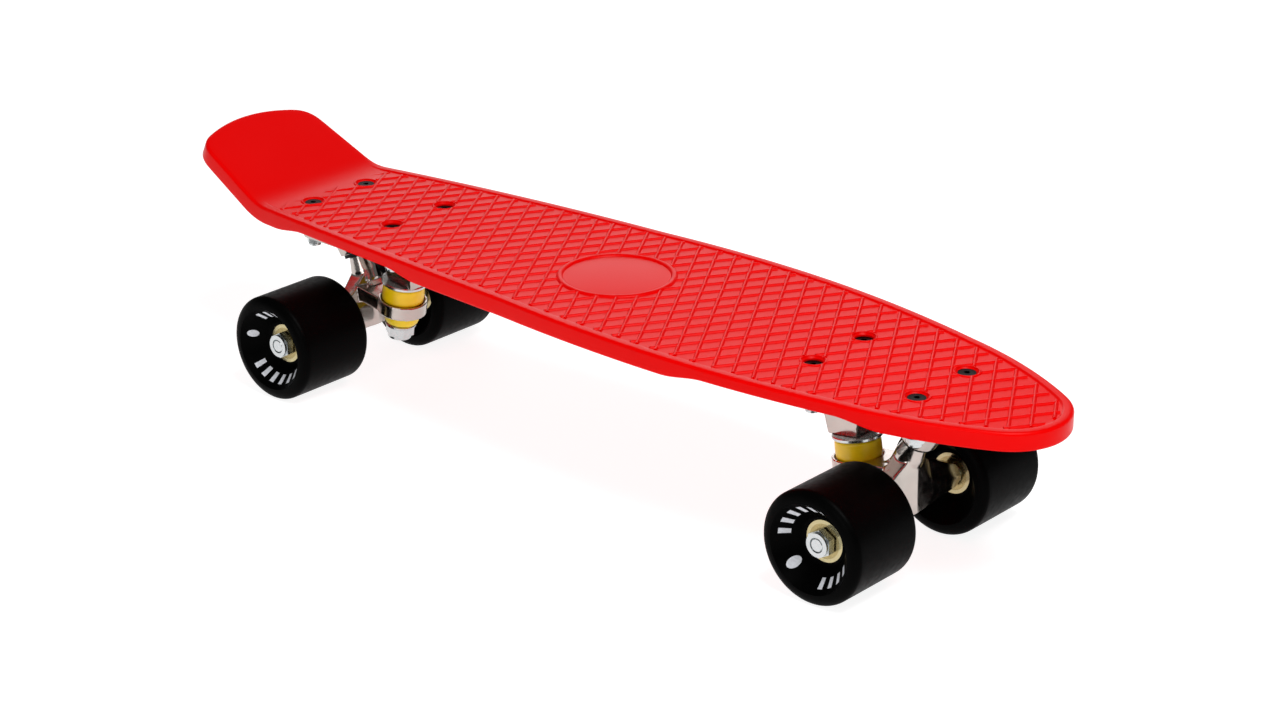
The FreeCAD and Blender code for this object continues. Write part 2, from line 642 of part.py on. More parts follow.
def build_baseplate(prefix, x, turn):
    """Cast base plate: flange, kingpin boss and pivot housing."""
    body = add("PartDesign::Body", f"{prefix}_base")
    half_x = "(dims.bolt_spacing_x / 2 + dims.flange_margin)"
    half_y = "(dims.bolt_spacing_y / 2 + dims.flange_margin)"
    corners = [(f"-{half_x}", f"-{half_y}"), (half_x, f"-{half_y}"), (half_x, half_y), (f"-{half_x}", half_y)]
    flange = profile(body, f"{prefix}_flange", "XY_Plane", corners)
    lift(flange, "dims.base_top")
    pad(body, flange, "dims.flange_thickness", reverse=True)
    round_edges(body, "dims.flange_margin", lambda edge: abs(edge.tangentAt(0).z) > 0.9)

    boss_x = "(-dims.ring_x - (dims.base_top - dims.ring_z) * tan(dims.kingpin_tilt))"
    half = "dims.boss_length / 2"
    wide = "dims.boss_width / 2"
    corners = [
        (f"{boss_x} - {half}", f"-{wide}"),
        (f"{boss_x} + {half}", f"-{wide}"),
        (f"{boss_x} + {half}", wide),
        (f"{boss_x} - {half}", wide),
    ]
    boss = profile(body, f"{prefix}_boss", "XY_Plane", corners)
    lift(boss, "dims.base_top")
    pad(body, boss, "dims.base_top - dims.ring_z", reverse=True, draft="-dims.boss_draft")

    # A slanted cut leaves the boss square to the kingpin where the large washer seats.
    seat_x = f"(-dims.ring_x - {BOSS_SEAT} * sin(dims.kingpin_tilt))"
    seat_z = f"(dims.ring_z + {BOSS_SEAT} * cos(dims.kingpin_tilt))"
    reach = "dims.boss_length"
    slope = f"{reach} * tan(dims.kingpin_tilt)"
    corners = [
        (f"{seat_x} - {reach}", "0"),
        (f"{seat_x} + {reach}", "0"),
        (f"{seat_x} + {reach}", f"{seat_z} + {slope}"),
        (f"{seat_x} - {reach}", f"{seat_z} - {slope}"),
    ]
    trim = profile(body, f"{prefix}_boss_trim", "XZ_Plane", corners)
    pocket(body, trim, "2 * dims.boss_width", symmetric=True)

    housing = pivot_sketch(
        body,
        f"{prefix}_housing",
        [
            ("0", "-dims.cup_mouth"),
            ("dims.housing_radius", "-dims.cup_mouth"),
            (
                "dims.housing_radius + 2 * dims.nose_length * tan(dims.housing_draft)",
                "2 * dims.nose_length - dims.cup_mouth",
            ),
            ("0", "2 * dims.nose_length - dims.cup_mouth"),
        ],
    )
    revolve(body, housing, "V_Axis")
    level = "dims.base_top + dims.overall_length / 8"
    far = "dims.bolt_spacing_x"
    corners = [(f"-{far}", "dims.base_top"), (far, "dims.base_top"), (far, level), (f"-{far}", level)]
    top_trim = profile(body, f"{prefix}_top_trim", "XZ_Plane", corners)
    pocket(body, top_trim, "4 * dims.bolt_spacing_y", symmetric=True)

    bore = pivot_sketch(
        body,
        f"{prefix}_cup_bore",
        [
            ("0", "-2 * dims.nose_length"),
            ("dims.cup_radius + dims.fit_gap", "-2 * dims.nose_length"),
            ("dims.cup_radius + dims.fit_gap", "dims.cup_top + dims.fit_gap"),
            ("0", "dims.cup_top + dims.fit_gap"),
        ],
    )
    revolve(body, bore, "V_Axis", "PartDesign::Groove")

    pin_hole = kingpin_sketch(
        body,
        f"{prefix}_pin_hole",
        [
            ("0", "0"),
            ("dims.kingpin_diameter / 2 + dims.fit_gap", "0"),
            ("dims.kingpin_diameter / 2 + dims.fit_gap", "dims.head_seat"),
            ("dims.head_pocket_radius", "dims.head_seat"),
            ("dims.head_pocket_radius", "2 * dims.head_seat"),
            ("0", "2 * dims.head_seat"),
        ],
    )
    revolve(body, pin_hole, "V_Axis", "PartDesign::Groove")

    for number, (hole_x, hole_y) in enumerate(bolt_spots("0"), start=1):
        hole = circle_sketch(body, f"{prefix}_bolt_hole_{number}", "XY_Plane", "dims.bolt_hole / 2")
        lift(hole, "dims.base_top", hole_x, hole_y)
        DOC.recompute()
        pocket(body, hole, "2 * dims.flange_thickness")
    place(body, x, turn=str(turn))
    keep(body, f"{prefix}_baseplate")


def pivot_sketch(body, name, corners):
    """Outline (radius, height along the pivot nose) about the pivot ball's centre."""
    sketch = profile(body, name, "XZ_Plane", corners)
    sketch.AttachmentOffset = FreeCAD.Placement(
        FreeCAD.Vector(), FreeCAD.Rotation(FreeCAD.Vector(0, 0, 1), size("pivot_lean") - 90)
    )
    bind(sketch, AttachmentOffset__Base__x="dims.pivot_x", AttachmentOffset__Base__y="dims.pivot_z")
    bind(sketch, AttachmentOffset__Rotation__Angle="dims.pivot_lean - 90")
    DOC.recompute()
    return sketch


def kingpin_sketch(body, name, corners):
    """Outline (radius, height along the kingpin) about the centre of the hanger's ring."""
    sketch = profile(body, name, "XZ_Plane", corners)
    sketch.AttachmentOffset = FreeCAD.Placement(
        FreeCAD.Vector(), FreeCAD.Rotation(FreeCAD.Vector(0, 0, 1), size("kingpin_tilt"))
    )
    bind(sketch, AttachmentOffset__Base__x="-dims.ring_x", AttachmentOffset__Base__y="dims.ring_z")
    bind(sketch, AttachmentOffset__Rotation__Angle="dims.kingpin_tilt")
    DOC.recompute()
    return sketch


def hanger_section(body, name, y, corners):
    """Section of the hanger across Y; its corners go round from the outboard foot."""
    sketch = profile(body, name, "XZ_Plane", corners)
    lift(sketch, f"-({y})")
    return sketch


def build_hanger(prefix, x, turn):
    """Cast hanger: axle housing with two wings, ring arm, and nose that enters the pivot cup."""
    body = add("PartDesign::Body", f"{prefix}_hanger_body")
    axle_z = "dims.wheel_radius"
    neck_x = "(dims.pivot_x - dims.nose_length * cos(dims.pivot_lean))"
    neck_z = "(dims.pivot_z - dims.nose_length * sin(dims.pivot_lean))"
    low = f"{axle_z} - dims.end_high"
    middle = [
        ("dims.axle_x + dims.keel_outboard", low),
        ("dims.axle_x + dims.keel_outboard", f"{neck_z} - dims.keel_shoulder"),
        (f"{neck_x} + dims.crest_half", f"{neck_z} + dims.crest_outboard"),
        (f"{neck_x} - dims.crest_half", f"{neck_z} + dims.crest_inboard"),
        ("dims.axle_x - dims.keel_inboard", f"{axle_z} + dims.keel_back"),
        ("dims.axle_x - dims.keel_inboard", low),
    ]
    wing = [
        ("dims.axle_x + dims.wing_outboard", low),
        ("dims.axle_x + dims.wing_outboard", f"{axle_z} + dims.wing_shoulder"),
        ("dims.axle_x + dims.wing_crest", f"{axle_z} + dims.wing_top"),
        ("dims.axle_x - dims.wing_crest", f"{axle_z} + dims.wing_top"),
        ("dims.axle_x - dims.wing_inboard", f"{axle_z} + dims.wing_shoulder"),
        ("dims.axle_x - dims.wing_inboard", low),
    ]
    end = [
        ("dims.axle_x + dims.end_flat", low),
        ("dims.axle_x + dims.end_wide", axle_z),
        ("dims.axle_x + dims.end_flat", f"{axle_z} + dims.end_high"),
        ("dims.axle_x - dims.end_flat", f"{axle_z} + dims.end_high"),
        ("dims.axle_x - dims.end_wide", axle_z),
        ("dims.axle_x - dims.end_flat", low),
    ]
    places = [
        (f"-{HANGER_END}", end),
        ("-dims.wing_place", wing),
        ("0", middle),
        ("dims.wing_place", wing),
        (HANGER_END, end),
    ]
    sections = [
        hanger_section(body, f"{prefix}_section_{number}", y, corners)
        for number, (y, corners) in enumerate(places, start=1)
    ]
    loft = body.newObject("PartDesign::AdditiveLoft", "Wings")
    loft.Profile = sections[0]
    loft.Sections = sections[1:]
    loft.Ruled = True
    DOC.recompute()

    foot_z = "(dims.ring_z + dims.web_foot_rise)"
    corners = [
        (neck_x, f"{neck_z} + dims.crest_inboard"),
        ("dims.web_foot_x", foot_z),
        ("dims.web_foot_x", "dims.ring_z"),
        (neck_x, "dims.ring_z"),
    ]
    web = profile(body, f"{prefix}_web", "XZ_Plane", corners)
    pad(body, web, "dims.web_thickness", symmetric=True)

    nose = pivot_sketch(
        body,
        f"{prefix}_nose",
        [
            ("0", "-1.5 * dims.nose_length"),
            ("dims.nose_root_radius", "-1.5 * dims.nose_length"),
            ("dims.nose_root_radius", "-dims.nose_length"),
            ("dims.pivot_ball_radius", "0"),
            ("0", "dims.pivot_ball_radius"),
        ],
    )
    round_nose(nose)
    revolve(body, nose, "V_Axis")

    ring = kingpin_sketch(
        body,
        f"{prefix}_ring",
        [
            ("0", "-dims.ring_half_thickness"),
            ("dims.ring_radius", "-dims.ring_half_thickness"),
            ("dims.ring_radius", "dims.ring_half_thickness"),
            ("0", "dims.ring_half_thickness"),
        ],
    )
    revolve(body, ring, "V_Axis")

    reach = "(dims.ring_x + dims.axle_x)"
    arm = kingpin_sketch(
        body,
        f"{prefix}_arm",
        [
            ("0", "-dims.ring_half_thickness"),
            (reach, "-dims.ring_half_thickness"),
            (reach, "dims.ring_half_thickness"),
            ("0", "dims.ring_half_thickness"),
        ],
    )
    pad(body, arm, "dims.arm_width", symmetric=True)

    bore = kingpin_sketch(
        body,
        f"{prefix}_ring_bore",
        [
            ("0", "-2 * dims.ring_radius"),
            ("dims.seat_radius", "-2 * dims.ring_radius"),
            ("dims.seat_radius", "-dims.bushing_seat"),
            ("dims.ring_bore", "-dims.bushing_seat"),
            ("dims.ring_bore", "dims.bushing_seat"),
            ("dims.seat_radius", "dims.bushing_seat"),
            ("dims.seat_radius", "2 * dims.ring_radius"),
            ("0", "2 * dims.ring_radius"),
        ],
    )
    revolve(body, bore, "V_Axis", "PartDesign::Groove")

    axle_hole = circle_sketch(
        body, f"{prefix}_axle_hole", "XZ_Plane", "dims.axle_diameter / 2 + dims.fit_gap"
    )
    lift(axle_hole, "0", "dims.axle_x", "dims.wheel_radius")
    DOC.recompute()
    pocket(body, axle_hole, f"3 * {HANGER_END}", symmetric=True)
    place(body, x, turn=str(turn))
    keep(body, f"{prefix}_hanger")


def round_nose(sketch):
    """Turn the last side of the nose's outline into a quarter of the ball."""
    side = len(sketch.Geometry) // 2 + 3
    start = sketch.Geometry[3]
    end = sketch.Geometry[4]
    ends = [FreeCAD.Vector(point.X, point.Y, 0) for point in (start, end)]
    sketch.delGeometries([side])
    radius = size("pivot_ball_radius")
    index = sketch.addGeometry(arc_between(ends[0], ends[1], radius), False)
    sketch.addConstraint(Sketcher.Constraint("Coincident", index, 1, 3, 1))
    sketch.addConstraint(Sketcher.Constraint("Coincident", index, 2, 4, 1))
    constrain(sketch, "dims.pivot_ball_radius", "Radius", index, radius)
    DOC.recompute()


def on_kingpin(body, x, outboard, node):
    """Stand a piece, built about its own Z axis, on the kingpin."""
    place(
        body,
        f"{x} - {outboard} * dims.ring_x",
        z="dims.ring_z",
        axis=(0, 1, 0),
        turn=f"-{outboard} * dims.kingpin_tilt",
    )
    keep(body, node)


def nut_body(name, flats, height, collar, collar_radius, bore):
    """Locking nut from 0 down: hexagon with a round collar below it."""
    body = add("PartDesign::Body", name)
    hexagonal = profile(body, f"{name}_hexagon", "XY_Plane", hexagon(flats))
    pad(body, hexagonal, height, reverse=True)
    collar_sketch = circle_sketch(body, f"{name}_collar", "XY_Plane", collar_radius)
    DOC.recompute()
    pad(body, collar_sketch, f"{height} + {collar}", reverse=True)
    hole = circle_sketch(body, f"{name}_bore", "XY_Plane", bore)
    DOC.recompute()
    pocket(body, hole, f"2 * ({height} + {collar})", symmetric=True)
    return body


def build_kingpin_stack(prefix, x, outboard):
    """Kingpin, its nut, the two bushings and their cup washers."""
    pin = "dims.kingpin_diameter / 2"
    loose = f"({pin} + dims.slip_gap)"

    kingpin = turned(
        f"{prefix}_pin",
        "XZ_Plane",
        [
            ("0", "-dims.kingpin_foot"),
            (f"{pin} - dims.soft_edge", "-dims.kingpin_foot"),
            (pin, "-dims.kingpin_foot + dims.soft_edge"),
            (pin, "dims.head_seat"),
            ("0", "dims.head_seat"),
        ],
        axis="V_Axis",
    )
    head = profile(kingpin, f"{prefix}_head", "XY_Plane", hexagon("dims.kingpin_head_flats"))
    lift(head, "dims.head_seat")
    DOC.recompute()
    pad(kingpin, head, "dims.kingpin_head_height")
    on_kingpin(kingpin, x, outboard, f"{prefix}_kingpin")

    nut = nut_body(
        f"{prefix}_pin_nut",
        "dims.kingpin_nut_flats",
        "dims.kingpin_nut_height",
        "dims.kingpin_collar_height",
        "(dims.kingpin_nut_flats / 2 - dims.sheet_edge)",
        f"{pin} + dims.fit_gap",
    )
    place(
        nut,
        f"{x} - {outboard} * (dims.ring_x - {NUT_SEAT} * sin(dims.kingpin_tilt))",
        z=f"dims.ring_z - {NUT_SEAT} * cos(dims.kingpin_tilt)",
        axis=(0, 1, 0),
        turn=f"-{outboard} * dims.kingpin_tilt",
    )
    keep(nut, f"{prefix}_kingpin_nut")

    low = "dims.bushing_seat"
    wide = "dims.board_bushing_radius"
    corners = [
        (loose, low),
        (f"{wide} - dims.soft_edge", low),
        (wide, f"{low} + dims.soft_edge"),
        (wide, f"{BOARD_WASHER_SEAT} - dims.soft_edge"),
        (f"{wide} - dims.soft_edge", BOARD_WASHER_SEAT),
        (loose, BOARD_WASHER_SEAT),
    ]
    on_kingpin(
        turned(f"{prefix}_upper_rubber", "XZ_Plane", corners, axis="V_Axis"),
        x,
        outboard,
        f"{prefix}_board_side_bushing",
    )

    corners = [
        (loose, "-dims.bushing_seat"),
        (loose, f"-{ROAD_WASHER_SEAT}"),
        ("dims.road_bushing_foot - dims.soft_edge", f"-{ROAD_WASHER_SEAT}"),
        ("dims.road_bushing_foot", f"-{ROAD_WASHER_SEAT} + dims.soft_edge"),
        ("dims.road_bushing_radius", "-dims.ring_half_thickness - dims.sheet_edge"),
        ("dims.road_bushing_radius", "-dims.bushing_seat"),
    ]
    on_kingpin(
        turned(f"{prefix}_lower_rubber", "XZ_Plane", corners, axis="V_Axis"),
        x,
        outboard,
        f"{prefix}_road_side_bushing",
    )

    wide = "dims.board_washer_radius"
    corners = [
        (loose, BOARD_WASHER_SEAT),
        (f"{wide} - dims.sheet_edge", BOARD_WASHER_SEAT),
        (wide, f"{BOARD_WASHER_SEAT} + dims.sheet_edge"),
        (wide, f"{BOSS_SEAT} - dims.sheet_edge"),
        (f"{wide} - dims.sheet_edge", BOSS_SEAT),
        (loose, BOSS_SEAT),
    ]
    on_kingpin(
        turned(f"{prefix}_upper_washer", "XZ_Plane", corners, axis="V_Axis"),
        x,
        outboard,
        f"{prefix}_board_side_cup_washer",
    )

    wide = "dims.road_washer_radius"
    corners = [
        (loose, f"-{ROAD_WASHER_SEAT}"),
        (loose, f"-{NUT_SEAT}"),
        (f"{wide} - dims.sheet_edge", f"-{NUT_SEAT}"),
        (wide, f"-{NUT_SEAT} + dims.sheet_edge"),
        (wide, f"-{ROAD_WASHER_SEAT} - dims.sheet_edge"),
        (f"{wide} - dims.sheet_edge", f"-{ROAD_WASHER_SEAT}"),
    ]
    on_kingpin(
        turned(f"{prefix}_lower_washer", "XZ_Plane", corners, axis="V_Axis"),
        x,
        outboard,
        f"{prefix}_road_side_cup_washer",
    )


def build_pivot_cup(prefix, x, turn):
    """Rubber cup that holds the hanger's nose."""
    body = add("PartDesign::Body", f"{prefix}_cup")
    hollow = "(dims.pivot_ball_radius + dims.pivot_gap)"
    foot = "-(dims.cup_mouth + dims.cup_lip_height)"
    sketch = pivot_sketch(
        body,
        f"{prefix}_cup_outline",
        [
            ("0", foot),
            ("dims.cup_lip_radius", foot),
            ("dims.cup_lip_radius", "-dims.cup_mouth"),
            ("dims.cup_radius", "-dims.cup_mouth"),
            ("dims.cup_radius", "dims.cup_top"),
            ("0", "dims.cup_top"),
        ],
    )
    revolve(body, sketch, "V_Axis")
    flare = f"({hollow} + dims.cup_flare * (dims.cup_mouth + dims.cup_lip_height))"
    mouth = pivot_sketch(
        body,
        f"{prefix}_cup_mouth",
        [("0", foot), (flare, foot), (hollow, "0"), ("0", "0")],
    )
    revolve(body, mouth, "V_Axis", "PartDesign::Groove")
    ball = body.newObject("PartDesign::SubtractiveSphere", "Ball")
    bind(ball, Radius=hollow)
    bind(ball, Placement__Base__x="dims.pivot_x", Placement__Base__z="dims.pivot_z")
    DOC.recompute()
    place(body, x, turn=str(turn))
    keep(body, f"{prefix}_pivot_cup")


def build_bolts(prefix, x):
    """Four countersunk truck bolts and their locking nuts."""
    head = "dims.bolt_head_diameter / 2"
    shank = "dims.bolt_diameter / 2"
    cone = f"({head} - {shank})"
    bolt = turned(
        f"{prefix}_bolt",
        "XZ_Plane",
        [
            ("0", f"-{BOLT_LENGTH}"),
            (f"{shank} - dims.sheet_edge", f"-{BOLT_LENGTH}"),
            (shank, f"-{BOLT_LENGTH} + dims.sheet_edge"),
            (shank, f"-{cone} - dims.sheet_edge"),
            (head, "-dims.sheet_edge"),
            (head, "0"),
            ("0", "0"),
        ],
        axis="V_Axis",
    )
    drive = profile(bolt, f"{prefix}_drive", "XY_Plane", hexagon("dims.bolt_drive"))
    pocket(bolt, drive, "dims.bolt_drive_depth")
    spots = bolt_spots(x)
    bolts = copies(f"{prefix}_bolts", bolt, [(px, py, BOLT_HEAD_TOP, (0, 0, 1), "0") for px, py in spots])
    keep(bolts, f"{prefix}_mounting_bolts")
    nut = nut_body(
        f"{prefix}_bolt_nut",
        "dims.bolt_nut_flats",
        "dims.bolt_nut_height",
        "dims.bolt_collar_height",
        "(dims.bolt_nut_flats / 2 - dims.sheet_edge)",
        f"{shank} + dims.fit_gap",
    )
    nuts = copies(f"{prefix}_nuts", nut, [(px, py, BOLT_NUT_SEAT, (0, 0, 1), "0") for px, py in spots])
    keep(nuts, f"{prefix}_mounting_nuts")


def build_axle(prefix, x, outboard):
    """Axle with its speed washers and end nuts."""
    axle_x = f"{x} + {outboard} * dims.axle_x"
    radius = "dims.axle_diameter / 2"
    end = "dims.axle_half_length"
    axle = turned(
        f"{prefix}_axle_bar",
        "YZ_Plane",
        [
            (f"-{end}", "0"),
            (end, "0"),
            (end, f"{radius} - dims.soft_edge"),
            (f"{end} - dims.soft_edge", radius),
            (f"-{end} + dims.soft_edge", radius),
            (f"-{end}", f"{radius} - dims.soft_edge"),
        ],
    )
    place(axle, axle_x, z="dims.wheel_radius")
    keep(axle, f"{prefix}_axle")

    washer = turned(
        f"{prefix}_speed_washer",
        "YZ_Plane",
        [
            ("0", f"{radius} + dims.fit_gap"),
            ("dims.washer_thickness", f"{radius} + dims.fit_gap"),
            ("dims.washer_thickness", "dims.washer_radius"),
            ("0", "dims.washer_radius"),
        ],
    )
    inner = HANGER_END
    outer = f"(dims.wheel_y + {BEARING_FACE})"
    starts = [outer, inner, f"-{inner} - dims.washer_thickness", f"-{outer} - dims.washer_thickness"]
    spots = [(axle_x, y, "dims.wheel_radius", (0, 0, 1), "0") for y in starts]
    keep(copies(f"{prefix}_washers", washer, spots), f"{prefix}_speed_washers")

    nut = nut_body(
        f"{prefix}_end_nut",
        "dims.axle_nut_flats",
        "dims.axle_nut_height",
        "dims.axle_collar_height",
        "dims.axle_collar_radius",
        f"{radius} + dims.fit_gap",
    )
    seat = f"({outer} + dims.washer_thickness)"
    spots = [
        (axle_x, seat, "dims.wheel_radius", (1, 0, 0), "90"),
        (axle_x, f"-{seat}", "dims.wheel_radius", (1, 0, 0), "-90"),
    ]
    keep(copies(f"{prefix}_end_nuts", nut, spots), f"{prefix}_axle_nuts")


# ---------------------------------------------------------------------------- wheels


def build_wheel(name, x, y):
    """Cast wheel with dished sides and two bearing seats, built about its own middle."""
    seat = "(dims.bearing_outside / 2 + dims.fit_gap)"
    web = "dims.bearing_gap / 2"
    half = [
        ("dims.tread_half_width", "dims.wheel_radius"),
        (
            "dims.tread_half_width + (dims.wheel_half_width - dims.tread_half_width) / sqrt(2)",
            "dims.crest_radius + (dims.wheel_radius - dims.crest_radius) / sqrt(2)",
        ),
        ("dims.wheel_half_width", "dims.crest_radius"),
        (BEARING_FACE, "dims.bearing_outside / 2 + dims.hub_floor_step"),
        (BEARING_FACE, seat),
        (web, seat),
        (web, "dims.outer_ring_radius + dims.core_step"),
    ]
    left = [(f"-({across})", radius) for across, radius in reversed(half)]
    wheel = turned(f"{name}_tyre", "YZ_Plane", half + left)
    place(wheel, x, y, "dims.wheel_radius")
    keep(wheel, f"{name}_wheel")


def bearing_ring(name, bore, outside):
    """Bearing ring between two radii, with a round groove where the balls meet it."""
    half = "dims.bearing_width / 2"
    body = add("PartDesign::Body", name)
    corners = [(f"-{half}", bore), (half, bore), (half, outside), (f"-{half}", outside)]
    sketch = profile(body, f"{name}_outline", "YZ_Plane", corners)
    revolve(body, sketch)
    groove = circle_sketch(body, f"{name}_groove", "YZ_Plane", "dims.ball_diameter / 2 + dims.race_gap")
    lift(groove, "0", "0", "dims.ball_pitch_radius")
    DOC.recompute()
    feature = body.newObject("PartDesign::Groove", "Race")
    feature.Profile = groove
    feature.ReferenceAxis = (next(f for f in body.Origin.OriginFeatures if f.Role == "Y_Axis"), [""])
    feature.Angle = 360
    DOC.recompute()
    return body


def build_bearings(name, x, y):
    """Two ball bearings and the spacer between their inner rings."""
    z = "dims.wheel_radius"
    upright = (0, 0, 1)
    pair = [(x, f"{y} + {side} * {BEARING_MIDDLE}", z, upright, "0") for side in ("1", "-1")]

    outer = bearing_ring(f"{name}_outer", "dims.outer_ring_radius", "dims.bearing_outside / 2")
    keep(copies(f"{name}_outers", outer, pair), f"{name}_bearing_outer_rings")
    inner = bearing_ring(f"{name}_inner", BEARING_BORE, "dims.inner_ring_radius")
    keep(copies(f"{name}_inners", inner, pair), f"{name}_bearing_inner_rings")

    ball = add("Part::Sphere", f"{name}_ball")
    bind(ball, Radius="dims.ball_diameter / 2")
    pocket_ball = add("Part::Sphere", f"{name}_pocket_ball")
    bind(pocket_ball, Radius="dims.ball_diameter / 2 + 2 * dims.race_gap")

    def circle_of(bearing_y, centre_x, centre_z):
        return [
            (
                f"{centre_x} + dims.ball_pitch_radius * sin({360 * k / BALL_COUNT})",
                bearing_y,
                f"{centre_z} + dims.ball_pitch_radius * cos({360 * k / BALL_COUNT})",
                upright,
                "0",
            )
            for k in range(BALL_COUNT)
        ]

    spots = [spot for _, bearing_y, _, _, _ in pair for spot in circle_of(bearing_y, x, z)]
    keep(copies(f"{name}_balls", ball, spots), f"{name}_bearing_balls")

    half = "dims.cage_half_width"
    ring = turned(
        f"{name}_cage_ring",
        "YZ_Plane",
        [
            (f"-{half}", "dims.cage_inner_radius"),
            (half, "dims.cage_inner_radius"),
            (half, "dims.cage_outer_radius"),
            (f"-{half}", "dims.cage_outer_radius"),
        ],
    )
    pockets = copies(f"{name}_pockets", pocket_ball, circle_of("0", "0", "0"))
    cage = cut(f"{name}_cage", ring, pockets)
    keep(copies(f"{name}_cages", cage, pair), f"{name}_bearing_cages")

    shield = turned(
        f"{name}_shield",
        "YZ_Plane",
        [
            ("0", "dims.shield_inner_radius"),
            ("dims.shield_thickness", "dims.shield_inner_radius"),
            ("dims.shield_thickness", "dims.outer_ring_radius - dims.fit_gap"),
            ("0", "dims.outer_ring_radius - dims.fit_gap"),
        ],
    )
    edge = "(dims.bearing_width / 2 - dims.shield_inset)"
    spots = []
    for _, bearing_y, _, _, _ in pair:
        spots.append((x, f"{bearing_y} + {edge} - dims.shield_thickness", z, upright, "0"))
        spots.append((x, f"{bearing_y} - {edge}", z, upright, "0"))
    keep(copies(f"{name}_shields", shield, spots), f"{name}_bearing_shields")

    long = "dims.bearing_gap / 2"
    spacer = turned(
        f"{name}_tube",
        "YZ_Plane",
        [
            (f"-{long}", BEARING_BORE),
            (long, BEARING_BORE),
            (long, "dims.spacer_radius"),
            (f"-{long}", "dims.spacer_radius"),
        ],
    )
    place(spacer, x, y, z)
    keep(spacer, f"{name}_bearing_spacer")


def build_truck(prefix, x, outboard, turn):
    """One truck with its bolts, axle and two wheels."""
    build_baseplate(prefix, x, turn)
    build_pivot_cup(prefix, x, turn)
    build_kingpin_stack(prefix, x, outboard)
    build_hanger(prefix, x, turn)
    build_axle(prefix, x, outboard)
    build_bolts(prefix, x)
    for side, sign in SIDES:
        wheel_x = f"{x} + {outboard} * dims.axle_x"
        wheel_y = f"{sign} * dims.wheel_y"
        build_wheel(f"{prefix}_{side}", wheel_x, wheel_y)
        build_bearings(f"{prefix}_{side}", wheel_x, wheel_y)


def check_and_export():
    """Refuse a failed object or a bad shape, then write one STEP file per sub-part."""
    DOC.recompute()
    for item in DOC.Objects:
        if "Invalid" in item.State or "Error" in item.State:
            raise RuntimeError(f"{item.Name} ({item.Label}) failed: {item.State}")
    os.makedirs("parts", exist_ok=True)
    for node, feature in NODES:
        shape = feature.Shape
        if shape.isNull() or not shape.isValid() or not shape.Solids:
            raise RuntimeError(f"{node} has no valid solid")
    for node, feature in NODES:
        feature.Shape.exportStep(f"parts/{node}.step")
        print(node, len(feature.Shape.Solids), "solid(s)", round(feature.Shape.Volume, 1), "mm3")


build_deck()
for truck in TRUCKS:
    build_truck(*truck)
check_and_export()
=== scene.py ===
import math

import bmesh
import bpy
import numpy as np
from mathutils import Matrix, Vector


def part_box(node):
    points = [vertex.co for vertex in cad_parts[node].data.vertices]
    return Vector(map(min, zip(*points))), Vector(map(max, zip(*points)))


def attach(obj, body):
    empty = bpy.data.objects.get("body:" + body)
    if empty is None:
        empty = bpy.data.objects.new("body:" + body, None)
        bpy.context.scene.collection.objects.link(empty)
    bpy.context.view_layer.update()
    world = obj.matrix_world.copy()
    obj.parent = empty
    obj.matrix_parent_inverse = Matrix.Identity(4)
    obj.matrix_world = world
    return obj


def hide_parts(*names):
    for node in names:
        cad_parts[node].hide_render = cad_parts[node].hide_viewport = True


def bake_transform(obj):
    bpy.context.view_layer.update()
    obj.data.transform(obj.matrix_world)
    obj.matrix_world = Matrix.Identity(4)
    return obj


bl_info = {
    "name": "Cruiser Skateboard",
    "version": (1, 0, 0),
    "blender": (4, 5, 0),
    "location": "3D View > Sidebar > Skateboard",
    "description": "Moulded deck, cast trucks and printed wheels of a small cruiser skateboard",
    "category": "Add Mesh",
}

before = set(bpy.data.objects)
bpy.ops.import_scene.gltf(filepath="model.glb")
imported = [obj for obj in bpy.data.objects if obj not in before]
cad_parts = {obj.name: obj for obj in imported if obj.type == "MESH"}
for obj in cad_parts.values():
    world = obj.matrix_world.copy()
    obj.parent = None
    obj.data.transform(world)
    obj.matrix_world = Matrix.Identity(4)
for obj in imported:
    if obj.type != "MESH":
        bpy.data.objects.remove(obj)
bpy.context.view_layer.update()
MM = 0.001

# Places read from the frame.  +X is the nose, +Y the left, +Z up.
DECK_LOW, DECK_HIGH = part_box("deck")
TRUCKS = (("front", 1.0), ("rear", -1.0))
SIDES = (("left", 1.0), ("right", -1.0))


def middle(node):
    """Middle of a CAD node's box."""
    low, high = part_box(node)
    return (low + high) / 2


BOLT_GROUPS = {prefix: middle(f"{prefix}_mounting_bolts") for prefix, _ in TRUCKS}
TRUCK_MIDDLE = (BOLT_GROUPS["front"].x + BOLT_GROUPS["rear"].x) / 2
HALF_TRUCKS = (BOLT_GROUPS["front"].x - BOLT_GROUPS["rear"].x) / 2

# Half of the deck's plan from tail to nose: where it is measured from, distance, half width,
# radius of the side that follows (0 is straight), all in millimetres along the deck's middle line.
HALF_PLAN = [
    ("tail", 5.8, 31.0, 15.0),
    ("tail", 20.0, 42.8, 0.0),
    ("kink", 0.0, 47.0, 2600.0),
    ("kink", 206.9, 66.6, 800.0),
    ("kink", 289.9, 70.7, 600.0),
    ("nose", 92.0, 56.5, 225.0),
    ("nose", 16.0, 28.8, 0.0),
]
TAIL_END_RADIUS = 86.0 * MM
NOSE_RADIUS = 34.0 * MM


# ------------------------------------------------------------------------------ settings


